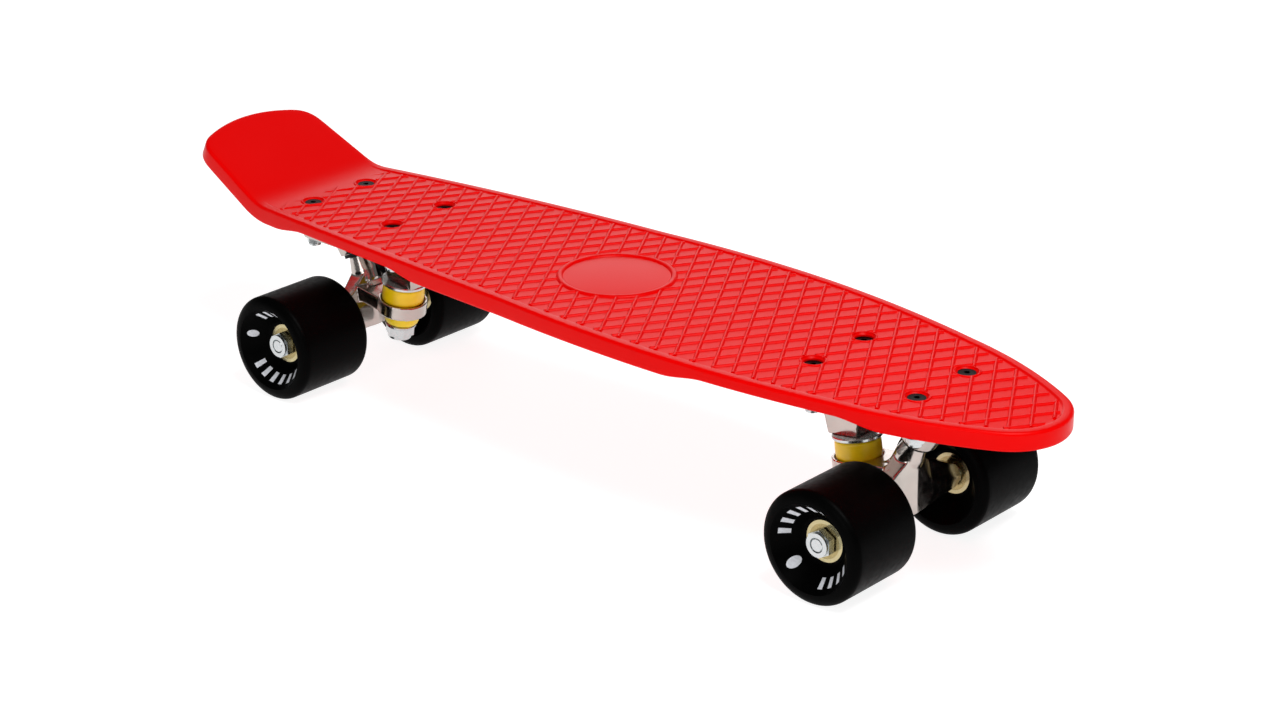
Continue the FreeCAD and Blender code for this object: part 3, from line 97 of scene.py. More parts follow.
class SKATEBOARD_PG_deck(bpy.types.PropertyGroup):
    """Sizes of the moulded deck."""

    top: bpy.props.FloatProperty(
        name="Top", description="Height of the deck's top over the trucks", default=99.5 * MM, unit="LENGTH"
    )
    camber: bpy.props.FloatProperty(
        name="Camber", description="Radius of the lengthwise crown", default=9.0, unit="LENGTH"
    )
    kick_length: bpy.props.FloatProperty(
        name="Kick", description="Length of the kicked tail along its slope", default=66.7 * MM, unit="LENGTH"
    )
    kick_angle: bpy.props.FloatProperty(
        name="Slope", description="Slope of the tail", default=math.radians(25.8), subtype="ANGLE"
    )
    kick_bend: bpy.props.FloatProperty(
        name="Kick bend", description="Half length of the bend at the foot of the kick",
        default=8.0 * MM, unit="LENGTH",
    )
    shell: bpy.props.FloatProperty(
        name="Shell", description="Thickness of the moulded shell", default=5.2 * MM, unit="LENGTH"
    )
    rim_width: bpy.props.FloatProperty(
        name="Rim width", description="Width of the raised rim", default=6.2 * MM, unit="LENGTH"
    )
    rim_depth: bpy.props.FloatProperty(
        name="Rim depth", description="Height of the rim's wall between the trucks",
        default=9.9 * MM, unit="LENGTH",
    )
    truck_rise: bpy.props.FloatProperty(
        name="Rise at trucks", description="How much lower the wall is beside a truck",
        default=3.2 * MM, unit="LENGTH",
    )
    lip: bpy.props.FloatProperty(
        name="Lip", description="Height of the rim above the tread", default=0.8 * MM, unit="LENGTH"
    )
    badge_radius: bpy.props.FloatProperty(
        name="Badge", description="Radius of the bead round the smooth badge",
        default=30.4 * MM, unit="LENGTH",
    )
    sink_radius: bpy.props.FloatProperty(
        name="Countersink", description="Radius of a bolt's countersink", default=5.8 * MM, unit="LENGTH"
    )


class SKATEBOARD_PG_tread(bpy.types.PropertyGroup):
    """Sizes of the diamond tread."""

    pitch: bpy.props.FloatProperty(
        name="Pitch", description="Distance from ridge to ridge", default=10.5 * MM, unit="LENGTH"
    )
    angle: bpy.props.FloatProperty(
        name="Angle", description="Angle between a ridge and the board's length",
        default=math.radians(58.5), subtype="ANGLE",
    )
    height: bpy.props.FloatProperty(
        name="Height", description="Height of a ridge", default=0.85 * MM, unit="LENGTH"
    )
    half_width: bpy.props.FloatProperty(
        name="Half width", description="Half the width of a ridge at its foot",
        default=1.3 * MM, unit="LENGTH",
    )


class SKATEBOARD_PG_finishes(bpy.types.PropertyGroup):
    """Colours of the pieces, as sRGB hex values."""

    deck: bpy.props.StringProperty(name="Deck", description="Colour of the deck's plastic", default="#EA0000")
    wheels: bpy.props.StringProperty(
        name="Wheels", description="Colour of the cast wheels", default="#020202"
    )
    print: bpy.props.StringProperty(
        name="Print", description="Colour of the marks on the wheels", default="#E6E8EE"
    )
    bushings: bpy.props.StringProperty(
        name="Bushings", description="Colour of the bushings", default="#F2D200"
    )
    castings: bpy.props.StringProperty(
        name="Castings", description="Colour of the cast trucks", default="#B9B0AA"
    )
    zinc: bpy.props.StringProperty(name="Zinc", description="Colour of zinc-plated steel", default="#C4C8C9")
    bearings: bpy.props.StringProperty(
        name="Bearings", description="Colour of the bearings", default="#B9AE86"
    )


class SKATEBOARD_PG_studio(bpy.types.PropertyGroup):
    """Camera's place and lens."""

    azimuth: bpy.props.FloatProperty(
        name="Azimuth", description="Camera's turn round the board",
        default=math.radians(41.24), subtype="ANGLE",
    )
    elevation: bpy.props.FloatProperty(
        name="Elevation", description="Camera's height above the horizon",
        default=math.radians(22.66), subtype="ANGLE",
    )
    distance: bpy.props.FloatProperty(
        name="Distance", description="From the camera to the point it looks at", default=1.6302, unit="LENGTH"
    )
    aim: bpy.props.FloatVectorProperty(
        name="Aim", description="Point that the camera looks at",
        default=(0.01453, 0.00885, 0.05182), subtype="TRANSLATION",
    )
    lens: bpy.props.FloatProperty(name="Lens", description="Focal length in millimetres", default=85.7)


# ------------------------------------------------------------------------------ meshes


def patch(points, loop_rows=False, loop_columns=True, capped=False):
    """Quads over a grid of points, rows by columns.

    A looped direction joins its last line to its first.  A capped patch is closed at both ends by
    fans that meet in the middle of its first and last rows.
    """
    if capped:
        ends = [np.broadcast_to(row.mean(axis=0), row.shape)[None] for row in (points[0], points[-1])]
        points = np.concatenate([ends[0], points, ends[1]])
    rows, columns = points.shape[:2]
    index = np.arange(rows * columns).reshape(rows, columns)
    if loop_columns:
        index = np.hstack([index, index[:, :1]])
    if loop_rows:
        index = np.vstack([index, index[:1]])
    corners = (index[:-1, :-1], index[:-1, 1:], index[1:, 1:], index[1:, :-1])
    return points.reshape(-1, 3), np.stack(corners, axis=-1).reshape(-1, 4)


def mesh_object(name, patches, sharp=math.radians(35.0)):
    """Object of one or more patches, welded, with its faces turned outwards."""
    starts = np.cumsum([0] + [len(points) for points, _ in patches[:-1]])
    points = np.concatenate([points for points, _ in patches])
    quads = np.concatenate([quads + start for (_, quads), start in zip(patches, starts)])
    mesh = bpy.data.meshes.new(name)
    mesh.from_pydata(points.tolist(), [], quads.tolist())
    shape = bmesh.new()
    shape.from_mesh(mesh)
    bmesh.ops.remove_doubles(shape, verts=shape.verts, dist=2e-6)
    bmesh.ops.dissolve_degenerate(shape, edges=shape.edges, dist=1e-7)
    bmesh.ops.recalc_face_normals(shape, faces=shape.faces)
    shape.to_mesh(mesh)
    shape.free()
    mesh.shade_smooth()
    mesh.set_sharp_from_angle(angle=sharp)
    made = bpy.data.objects.new(name, mesh)
    bpy.context.scene.collection.objects.link(made)
    return made


def lathe(outline, centre, axis=(0, 0, 1), around=96):
    """Patch of a closed outline, (radius, height) pairs, turned about an axis through a centre."""
    outline = np.asarray(outline, float)
    up = np.array(Vector(axis).normalized())
    side = np.array(Vector(axis).orthogonal().normalized())
    other = np.cross(up, side)
    turn = np.linspace(0, 2 * math.pi, around, endpoint=False)
    spoke = np.cos(turn)[:, None] * side + np.sin(turn)[:, None] * other
    points = outline[:, None, :1] * spoke[None] + outline[:, None, 1:] * up + np.array(centre)
    return patch(points, loop_rows=True)


def rounded(corners, radius, steps=5):
    """Outline through corners with each corner cut round by a quadratic curve of that reach."""
    corners = np.asarray(corners, float)
    before = np.roll(corners, 1, axis=0) - corners
    after = np.roll(corners, -1, axis=0) - corners
    near = np.linalg.norm(before, axis=1)
    far = np.linalg.norm(after, axis=1)
    reach = np.minimum(radius, 0.45 * np.minimum(near, far))[:, None]
    first = corners + before / near[:, None] * reach
    last = corners + after / far[:, None] * reach
    share = np.linspace(0, 1, steps)[None, :, None]
    ends = (1 - share) ** 2 * first[:, None] + share**2 * last[:, None]
    curve = ends + 2 * share * (1 - share) * corners[:, None]
    return curve.reshape(-1, corners.shape[1])


def smoothstep(value, low, high):
    """0 below low, 1 above high, an S curve between."""
    share = np.clip((value - low) / (high - low), 0, 1)
    return share * share * (3 - 2 * share)


def cut_away(target, tool):
    """Take a closed tool out of a closed target."""
    change = target.modifiers.new("Holes", "BOOLEAN")
    change.operation = "DIFFERENCE"
    change.solver = "EXACT"
    change.object = tool
    settled(target)
    bpy.data.objects.remove(tool)


def settled(target):
    """Apply an object's modifiers to its mesh."""
    bpy.context.view_layer.update()
    shaped = target.evaluated_get(bpy.context.evaluated_depsgraph_get())
    mesh = bpy.data.meshes.new_from_object(shaped)
    target.modifiers.clear()
    target.data = mesh
    return target


def finish_piece(piece, body, slot, material, *nodes):
    """Give a piece its material, its body and the CAD nodes it stands for; its slot is not used."""
    piece.data.materials.clear()
    piece.data.materials.append(material)
    if body:
        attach(piece, body)
    if nodes:
        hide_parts(*nodes)
    return piece


# ------------------------------------------------------------------------------ deck surface


def side_points(start, end, radius, count):
    """Points from start to end on an arc of that radius that bulges to the left, or a line."""
    share = np.linspace(0, 1, count, endpoint=False)[:, None]
    along = end - start
    length = np.linalg.norm(along)
    points = start + share * along
    if radius:
        left = np.array([-along[1], along[0]]) / length
        offset = (share - 0.5) * length
        points = points + left * (np.sqrt(radius**2 - offset**2) - math.sqrt(radius**2 - length**2 / 4))
    return points


def kink_place(deck):
    """Where the straight tail and the level deck would meet."""
    level = deck.kick_length * math.cos(deck.kick_angle)
    return DECK_LOW.x + level + deck.rim_depth * math.sin(deck.kick_angle)


def kick_bend(deck):
    """Radius of the bend at the foot of the kick, and the reach of the corner it rounds."""
    radius = 2 * deck.kick_bend / deck.kick_angle
    return radius, radius * math.tan(deck.kick_angle / 2)


def tail_end(deck):
    """Place of the tail's end along the middle line, which takes the bend and not its corner."""
    _, corner = kick_bend(deck)
    return kink_place(deck) - deck.kick_length + 2 * (corner - deck.kick_bend)


def deck_outline(deck, count=704):
    """Closed outline of the unrolled deck's plan, evenly spaced, with its inward normals.

    Half of it runs from tail to nose through the plan's corners; it is mirrored, and a Gaussian
    mean over 3 mm takes the small breaks between its arcs out.
    """
    ends = {"tail": (tail_end(deck), 1.0), "kink": (kink_place(deck), 1.0), "nose": (DECK_HIGH.x, -1.0)}
    corners = []
    for end, distance, half_width, radius in HALF_PLAN:
        start, sign = ends[end]
        corners.append((np.array([start + sign * distance * MM, half_width * MM]), radius * MM))
    steps = 60
    mirror = np.array([1.0, -1.0])
    tail_arc = side_points(corners[0][0] * mirror, corners[0][0], TAIL_END_RADIUS, 2 * steps)
    nose_arc = side_points(corners[-1][0], corners[-1][0] * mirror, NOSE_RADIUS, 2 * steps)
    sides = [side_points(a, b, radius, steps) for (a, radius), (b, _) in zip(corners, corners[1:])]
    half = np.concatenate([tail_arc[steps:]] + sides + [nose_arc[: steps + 1]])
    reach = np.concatenate([[0], np.cumsum(np.linalg.norm(np.diff(half, axis=0), axis=1))])
    even = np.linspace(0, reach[-1], count // 2 + 1)
    half = np.stack([np.interp(even, reach, half[:, axis]) for axis in (0, 1)], axis=1)
    loop = np.concatenate([half, half[-2:0:-1] * mirror])
    spacing = reach[-1] / (count // 2)
    offset = np.arange(-8, 9)
    weight = np.exp(-0.5 * (offset * spacing / (3 * MM)) ** 2)
    weight /= weight.sum()
    loop = sum(share * np.roll(loop, int(step), axis=0) for step, share in zip(offset, weight))
    tangent = np.roll(loop, -1, axis=0) - np.roll(loop, 1, axis=0)
    tangent /= np.linalg.norm(tangent, axis=1, keepdims=True)
    inward = np.stack([tangent[:, 1], -tangent[:, 0]], axis=1)
    return loop, inward


def deck_place(along, deck):
    """Place, height and slope of the deck's top at a distance along its middle line.

    The level part is a wide crown.  At the foot of the kick a round arc turns it up into the
    straight tail.
    """
    radius, corner = kick_bend(deck)
    kink = kink_place(deck)
    past = np.maximum(kink + corner - along, 0)
    bent = np.minimum(past, 2 * deck.kick_bend)
    slope = bent / radius
    straight = past - bent
    level = radius * np.sin(slope) + straight * math.cos(deck.kick_angle)
    x = along + past - level
    rise = radius * (1 - np.cos(slope)) + straight * math.sin(deck.kick_angle)
    crown = np.maximum(x, kink) - TRUCK_MIDDLE
    camber = (HALF_TRUCKS**2 - crown**2) / (2 * deck.camber)
    return x, deck.top + camber + rise, slope


def deck_points(flat, drop, deck):
    """Points at places of the unrolled plan, let down by a drop square to the surface."""
    x, height, slope = deck_place(flat[..., 0], deck)
    return np.stack([x - drop * np.sin(slope), flat[..., 1], height - drop * np.cos(slope)], axis=-1)


def ground_at(x, deck):
    """Height of the tread's ground at one place of the level deck."""
    return float(deck_place(np.array([x]), deck)[1][0]) - deck.lip


def wall_depth(x, deck):
    """Height of the rim's wall at x: lower beside the trucks, tallest between them."""
    inboard, arch_near, arch_far = 28 * MM, 36 * MM, 62 * MM
    depth = np.full_like(x, deck.rim_depth)
    for prefix, outboard in TRUCKS:
        near = np.abs(x - (BOLT_GROUPS[prefix].x - outboard * inboard))
        depth -= deck.truck_rise * (1 - smoothstep(near, arch_near, arch_far))
    return depth


def tread_start(deck):
    """Where the tread begins, behind the outer rear bolts."""
    past_kink = 11 * MM
    return kink_place(deck) + past_kink


def lip_height(x, deck):
    """How far the tread lies below the rim's top at x; it runs out at the foot of the kick."""
    kink = kink_place(deck)
    return deck.lip * smoothstep(x, kink - 2 * MM, kink + 14 * MM)


def deck_shell(deck):
    """Closed shell: rings of the outline, drawn in and let down, from underside to tread.

    Each ring is the outline moved in by its inset and down by its drop.  Inside the rim the rings
    shrink onto a spine along the middle of the board.
    """
    loop, inward = deck_outline(deck)
    x = loop[:, 0]
    depth = wall_depth(x, deck)
    lip = lip_height(x, deck)
    wall = depth - deck.shell
    wide = deck.rim_width
    level = np.zeros_like(x)
    rings = [
        (wide + 1.4 * MM, level + deck.shell),
        (wide + 0.5 * MM, deck.shell + 0.12 * wall),
        (wide + 0.1 * MM, deck.shell + 0.45 * wall),
        (wide - 0.1 * MM, depth - 0.8 * MM),
        (wide - 0.4 * MM, depth - 0.2 * MM),
        (wide - 1.0 * MM, depth),
        (1.1 * MM, depth),
        (0.45 * MM, depth - 0.2 * MM),
        (0.1 * MM, depth - 0.8 * MM),
        (0.0, depth - 1.4 * MM),
        (0.0, level + 2.4 * MM),
    ]
    edge = 1.7 * MM
    for share in np.linspace(0, 1, 8):
        turn = share * math.pi / 2
        rings.append((edge * (1 - math.cos(turn)), level + edge * (1 - math.sin(turn))))
    step = 1.5 * MM
    for share in np.linspace(0, 1, 8):
        fall = 0.5 - 0.5 * math.cos(math.pi * share)
        rings.append((wide - step + step * share, lip * fall))
    rings.append((wide + 1.4 * MM, lip))

    def ring(inset, drop):
        return deck_points(loop + inward * inset, drop, deck)

    def inner_rings(drop, shares):
        flat = loop + inward * (wide + 1.4 * MM)
        spine = np.clip(x, tail_end(deck) + 41 * MM, DECK_HIGH.x - 60 * MM)
        core = np.column_stack([spine, np.zeros_like(spine)])
        return [deck_points(core + share * (flat - core), drop, deck) for share in shares]

    shares = np.linspace(0, 1, 13)[:-1]
    under = inner_rings(level + deck.shell, shares)
    over = inner_rings(lip, shares[::-1])
    points = np.stack(under + [ring(inset, drop) for inset, drop in rings] + over)
    return mesh_object("deck", [patch(points)])


def half_width(x, deck):
    """Half width of the deck's plan at x."""
    loop, _ = deck_outline(deck)
    half = loop[: len(loop) // 2 + 1]
    return np.interp(x, half[:, 0], half[:, 1])


def deck_ribs(deck):
    """Ribs under the deck: strips across and along it, from inside the shell down."""
    rib = 1.2 * MM
    section = np.array([(-1.0, 0.0), (-0.9, 0.9), (-0.6, 1.0), (0.6, 1.0), (0.9, 0.9), (1.0, 0.0)])
    patches = []

    def strip(path, across):
        foot = wall_depth(path[:, 0], deck) - 1.2 * MM
        start = deck.shell - 1.0 * MM
        drop = start + section[None, :, 1] * (np.maximum(foot, start + 0.5 * MM) - start)[:, None]
        flat = path[:, None, :] + section[None, :, :1] * rib * across
        patches.append(patch(deck_points(flat, drop, deck), capped=True))

    for number in range(-6, 7):
        x = number * 38.0 * MM
        reach = half_width(x, deck) - deck.rim_width + 1.5 * MM
        y = np.linspace(-reach, reach, 12)
        strip(np.column_stack([np.full_like(y, x), y]), np.array([1.0, 0.0]))
    for number in (-1, 0, 1):
        y = number * 30.4 * MM
        start = tail_end(deck) + (18 if number else 8) * MM
        x = np.linspace(start, DECK_HIGH.x - (24 if number else 8) * MM, 90)
        strip(np.column_stack([x, np.full_like(x, y)]), np.array([0.0, 1.0]))
    return mesh_object("deck_ribs", patches)


def rounded_rectangle(half_x, half_y, radius, steps=10):
    """Loop of a rectangle with round corners, about the origin."""
    turn = np.linspace(0, math.pi / 2, steps)
    arc = np.stack([np.cos(turn), np.sin(turn)], axis=1) * radius
    centre = np.array([half_x - radius, half_y - radius])
    quarter = arc + centre
    flips = [((1, 1), 1), ((-1, 1), -1), ((-1, -1), 1), ((1, -1), -1)]
    return np.concatenate([quarter[::order] * np.array(flip) for flip, order in flips])


def truck_pads():
    """Solid blocks under the deck that the base plates seat on, with drafted sides."""
    patches = []
    for prefix, _ in TRUCKS:
        low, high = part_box(f"{prefix}_baseplate")
        centre = BOLT_GROUPS[prefix]
        half_x = (high.x - low.x) / 2 + 3 * MM
        half_y = (high.y - low.y) / 2 + 3 * MM
        rows = []
        for inset, height in ((1.1, 0.0), (0.35, 0.25), (0.0, 0.9), (-0.4, 15.0)):
            loop = rounded_rectangle(half_x - inset * MM, half_y - inset * MM, 8 * MM)
            flat = loop + np.array([centre.x, centre.y])
            rows.append(np.column_stack([flat, np.full(len(flat), high.z + height * MM)]))
        patches.append(patch(np.stack(rows), capped=True))
    return mesh_object("deck_pads", patches)


def bolt_places():
    """Middle of every bolt's head: the bolts stand at the corners of each group's box."""
    places = []
    for prefix, _ in TRUCKS:
        low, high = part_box(f"{prefix}_mounting_bolts")
        head = 4.6 * MM
        for x in (low.x + head, high.x - head):
            for y in (low.y + head, high.y - head):
                places.append((x, y, high.z))
    return places


def hole_tools(deck):
    """Closed cutters for the countersunk bolt holes."""
    sink = deck.sink_radius
    patches = []
    for x, y, head in bolt_places():
        over = ground_at(x, deck) - head
        outline = [
            (0.0, -20 * MM),
            (2.75 * MM, -20 * MM),
            (2.75 * MM, -3.0 * MM),
            (4.9 * MM, -0.6 * MM),
            (4.9 * MM, over - 0.9 * MM),
            (sink, over - 0.1 * MM),
            (sink + 0.3 * MM, over + 4 * MM),
            (0.0, over + 4 * MM),
        ]
        patches.append(lathe(outline, (x, y, head), around=48))
    return mesh_object("hole_tools", patches)


def tread_lines(deck, tread):
    """Runs of both families of ridges, as arrays of points in plan, clipped to the tread.

    A ridge is a straight line in plan.  It stops inside the rim, at the badge, at the ring round
    each bolt hole, and behind the outer rear bolts.
    """
    loop, inward = deck_outline(deck)
    edge = loop + inward * (deck.rim_width + 0.5 * MM)
    half = edge[: len(edge) // 2 + 1]
    start = tread_start(deck)
    along = tread.pitch / math.sin(tread.angle)
    count = int((DECK_HIGH.x - DECK_LOW.x) / along) + 20
    runs = []
    for sign in (1.0, -1.0):
        direction = np.array([math.cos(tread.angle), sign * math.sin(tread.angle)])
        for number in range(-count // 2, count // 2 + 1):
            origin = np.array([TRUCK_MIDDLE + (number + 0.5) * along, 0.0])
            t = np.arange(-90 * MM, 90 * MM, 0.4 * MM)
            line = origin + t[:, None] * direction
            x, y = line[:, 0], line[:, 1]
            inside = np.abs(y) < np.interp(x, half[:, 0], half[:, 1], left=0, right=0)
            inside &= x > start - 2.5 * MM * (y / (40 * MM)) ** 2
            inside &= np.hypot(x - TRUCK_MIDDLE, y) > deck.badge_radius + 1.2 * MM
            for bolt_x, bolt_y, _ in bolt_places():
                inside &= np.hypot(x - bolt_x, y - bolt_y) > deck.sink_radius + 0.9 * MM
            change = np.flatnonzero(np.diff(np.concatenate([[0], inside.astype(int), [0]])))
            for first, last in zip(change[::2], change[1::2]):
                if last - first > 8:
                    stations = np.unique(np.linspace(first, last - 1, 3 + (last - first) // 30).astype(int))
                    runs.append((line[stations], direction))
    return runs


def tread_ridges(deck, tread):
    """Ridges of the tread: a bell-shaped section carried along each run, sunk a little at its foot."""
    offset = np.array([-1.0, -0.62, -0.34, 0.0, 0.34, 0.62, 1.0])
    rise = np.array([-0.12, 0.3, 0.88, 1.0, 0.88, 0.3, -0.12])
    offset = np.concatenate([offset, [0.8, -0.8]])
    rise = np.concatenate([rise, [-0.6, -0.6]])
    start = tread_start(deck)
    patches = []
    for path, direction in tread_lines(deck, tread):
        across = np.array([-direction[1], direction[0]])
        flat = path[:, None, :] + offset[None, :, None] * tread.half_width * across
        grown = smoothstep(flat[..., 0], start - 1 * MM, start + 9 * MM)
        drop = lip_height(flat[..., 0], deck) - rise[None, :] * tread.height * (0.1 + 0.9 * grown)
        patches.append(patch(deck_points(flat, drop, deck), capped=True))
    return mesh_object("deck_tread", patches, sharp=math.radians(80.0))


def badge_and_rings(deck):
    """Smooth badge with its bead, and the low ring round each bolt hole, all turned shapes."""
    ground = ground_at(TRUCK_MIDDLE, deck)
    turn = np.linspace(0, math.pi, 13)
    bead = 2.1 * MM
    bow = np.column_stack([deck.badge_radius - bead * np.cos(turn), -1.0 * MM + bead * np.sin(turn)])
    inner = [(0.0, 0.12 * MM), (deck.badge_radius - bead - 0.4 * MM, 0.12 * MM)]
    outer = [(deck.badge_radius + bead, -1.6 * MM), (0.0, -1.6 * MM)]
    keep = bow[:, 1] > -0.1 * MM
    outline = np.concatenate([inner, bow[keep], [(deck.badge_radius + bead - 0.1 * MM, -0.5 * MM)], outer])
    patches = [lathe(outline, (TRUCK_MIDDLE, 0.0, ground), around=192)]
    for x, y, _ in bolt_places():
        ground = ground_at(x, deck)
        sink = deck.sink_radius
        ring = [
            (sink + 0.05 * MM, -0.5 * MM),
            (sink + 0.1 * MM, 0.25 * MM),
            (sink + 0.45 * MM, 0.5 * MM),
            (sink + 0.95 * MM, 0.45 * MM),
            (sink + 1.4 * MM, 0.0),
            (sink + 1.4 * MM, -0.5 * MM),
        ]
        patches.append(lathe(rounded(ring, 0.3 * MM, 3), (x, y, ground), around=64))
    return mesh_object("deck_badge", patches)


# ------------------------------------------------------------------------------ wheels, bushings, castings


def wheel_piece(name, centre, outward, phase):
    """Wheel: a closed outline of (radius, offset from its middle) turned about the axle.

    The tread is flat and runs into each side on a quarter of an ellipse; from its crest the side
    is dished straight down to the bearing's seat.  Every point remembers where it lies from the
    hub, turned by the wheel's own phase, so that the print can follow the side.
    """
    radius = 30.0 * MM
    half = 25.0 * MM
    flat = 20.6 * MM
    crest = 23.5 * MM
    turn = np.linspace(0, math.pi / 2, 15)
    lip = np.column_stack([crest + (radius - crest) * np.cos(turn), flat + (half - flat) * np.sin(turn)])
    tread = [(radius, flat * share) for share in (0.0, 0.3, 0.6, 0.9)]
    floor = np.array([12.6 * MM, 12.1 * MM])
    share = np.linspace(0, 1, 12)[1:, None]
    dish = (1 - share) * lip[-1] + share * floor
    dish[:, 1] -= 0.35 * MM * np.sin(math.pi * share[:, 0])
    seat = [(11.8 * MM, 11.9 * MM), (11.04 * MM, 11.7 * MM), (11.04 * MM, 5.0 * MM), (9.8 * MM, 5.0 * MM)]
    side = np.concatenate([tread, lip, dish, seat])
    outline = np.concatenate([side, side[:0:-1] * np.array([1, -1])])
    piece = mesh_object(name, [lathe(outline, centre, (0, outward, 0), around=160)], sharp=math.radians(40.0))
    spots = np.zeros(len(piece.data.vertices) * 3)
    piece.data.vertices.foreach_get("co", spots)
    local = spots.reshape(-1, 3) - np.array(centre)
    # Seen from outside, to the right and up.
    right = -outward * local[:, 0]
    above = local[:, 2]
    face_on = np.stack(
        [
            right * math.cos(phase) + above * math.sin(phase),
            above * math.cos(phase) - right * math.sin(phase),
            local[:, 1] * outward,
        ],
        axis=1,
    )
    mark = piece.data.attributes.new("hub_place", "FLOAT_VECTOR", "POINT")
    mark.data.foreach_set("vector", face_on.astype(np.float32).ravel())
    return piece


def tilted_size(node, tilt):
    """Radius and height of a round piece whose axis leans in the XZ plane, from its box."""
    low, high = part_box(node)
    radius = (high.y - low.y) / 2
    height = (high.z - low.z - 2 * radius * math.sin(tilt)) / math.cos(tilt)
    return radius, height


def bushing_piece(name, node, outboard, tilt, taper):
    """Bushing: a rounded section with a slight barrel, turned about the leaning kingpin."""
    radius, height = tilted_size(node, tilt)
    centre = middle(node)
    axis = Vector((-outboard * math.sin(tilt), 0, math.cos(tilt)))
    share = np.linspace(0, 1, 17)
    foot = radius - taper
    barrel = foot + (radius - foot) * share + 0.25 * MM * np.sin(math.pi * share) - 0.25 * MM
    soft = 1.1 * MM
    from_end = np.minimum(share, 1 - share) * height
    round_off = soft - np.sqrt(np.maximum(soft**2 - np.maximum(soft - from_end, 0) ** 2, 0))
    outer = np.column_stack([barrel - round_off, (share - 0.5) * height])
    bore = 4.95 * MM
    outline = np.concatenate([[(bore, -height / 2)], outer, [(bore, height / 2)]])
    piece = mesh_object(name, [lathe(outline, centre, axis, around=96)], sharp=math.radians(50.0))
    return piece, axis, height


def cast_piece(name, node, voxel, rounds):
    """Casting: a welded copy of a CAD node, remeshed evenly and relaxed so that its edges are soft."""
    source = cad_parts[node]
    made = bpy.data.objects.new(name, source.data.copy())
    bpy.context.scene.collection.objects.link(made)
    shape = bmesh.new()
    shape.from_mesh(made.data)
    bmesh.ops.remove_doubles(shape, verts=shape.verts, dist=1e-6)
    shape.to_mesh(made.data)
    shape.free()
    remesh = made.modifiers.new("Even", "REMESH")
    remesh.mode = "VOXEL"
    remesh.voxel_size = voxel
    relax = made.modifiers.new("Soft", "SMOOTH")
    relax.factor = 0.5
    relax.iterations = rounds
    settled(made)
    made.data.shade_smooth()
    return made


# ------------------------------------------------------------------------------ materials


def colour(code):
    """Linear colour of an sRGB hex value."""
    levels = [int(code[place : place + 2], 16) / 255 for place in (1, 3, 5)]
    linear = [level / 12.92 if level <= 0.04045 else ((level + 0.055) / 1.055) ** 2.4 for level in levels]
    return (*linear, 1.0)


def add_node(tree, kind, sockets=None, **settings):
    """Add a node; a socket gets a value, or a link if the value is another node's socket."""
    made = tree.nodes.new(kind)
    for name, value in settings.items():
        setattr(made, name, value)
    for name, value in (sockets or {}).items():
        if isinstance(value, bpy.types.NodeSocket):
            tree.links.new(value, made.inputs[name])
        else:
            made.inputs[name].default_value = value
    return made


def shader_of(name, **sockets):
    """New material with one Principled shader, its tree and that shader."""
    material = bpy.data.materials.new(name)
    material.use_nodes = True
    tree = material.node_tree
    shader = tree.nodes["Principled BSDF"]
    for socket, value in sockets.items():
        shader.inputs[socket.replace("_", " ")].default_value = value
    return material, tree, shader


def grain(tree, size, detail=3.0, stretch=(1.0, 1.0, 1.0)):
    """Noise over Object coordinates whose lumps are about size across, in metres."""
    place = add_node(tree, "ShaderNodeTexCoord").outputs["Object"]
    scaled = add_node(tree, "ShaderNodeMapping", {"Vector": place, "Scale": stretch}).outputs["Vector"]
    return add_node(
        tree, "ShaderNodeTexNoise", {"Vector": scaled, "Scale": 1.0 / size, "Detail": detail}
    ).outputs["Fac"]


def spread(tree, value, low, high):
    """Map a noise, which stays mostly between 0.3 and 0.7, to low..high."""
    return add_node(
        tree,
        "ShaderNodeMapRange",
        {"Value": value, "From Min": 0.3, "From Max": 0.7, "To Min": low, "To Max": high},
    ).outputs["Result"]


def bump(tree, height, distance, strength=1.0):
    """Normal from a height between 0 and 1 that stands for distance metres."""
    return add_node(
        tree, "ShaderNodeBump", {"Height": height, "Distance": distance, "Strength": strength}
    ).outputs["Normal"]


def tinted(tree, code, value, amount):
    """Colour that gets lighter and darker by amount with a value round one half."""
    level = add_node(
        tree,
        "ShaderNodeMapRange",
        {"Value": value, "From Min": 0.3, "From Max": 0.7, "To Min": 1 - amount, "To Max": 1 + amount},
    ).outputs["Result"]
    return add_node(
        tree, "ShaderNodeHueSaturation", {"Color": colour(code), "Value": level}
    ).outputs["Color"]


def polypropylene(finishes):
    """Moulded polypropylene, glossy: the mould's polish leaves a faint wave and slow flow marks."""
    material, tree, shader = shader_of("moulded polypropylene", IOR=1.49, Specular_IOR_Level=0.06)
    flow = grain(tree, 60 * MM, 2.0, (1.0, 0.4, 1.0))
    fine = grain(tree, 1.6 * MM, 2.0)
    tree.links.new(tinted(tree, finishes.deck, flow, 0.015), shader.inputs["Base Color"])
    tree.links.new(spread(tree, grain(tree, 30 * MM, 1.0), 0.28, 0.31), shader.inputs["Roughness"])
    tree.links.new(bump(tree, fine, 0.012 * MM), shader.inputs["Normal"])
    return material


def cast_polyurethane(name, code, rough, specular):
    """Cast polyurethane: smooth from its mould, with a soft sheen and fine mottling."""
    material, tree, shader = shader_of(name, IOR=1.5, Specular_IOR_Level=specular)
    tree.links.new(tinted(tree, code, grain(tree, 6 * MM), 0.06), shader.inputs["Base Color"])
    tree.links.new(spread(tree, grain(tree, 3 * MM), rough - 0.05, rough + 0.08), shader.inputs["Roughness"])
    tree.links.new(bump(tree, grain(tree, 0.9 * MM), 0.01 * MM), shader.inputs["Normal"])
    return material, tree, shader


def within(tree, value, centre, reach):
    """1 where a value lies within reach of a centre, else 0."""
    return add_node(
        tree, "ShaderNodeMath", {0: value, 1: centre, 2: reach}, operation="COMPARE"
    ).outputs[0]


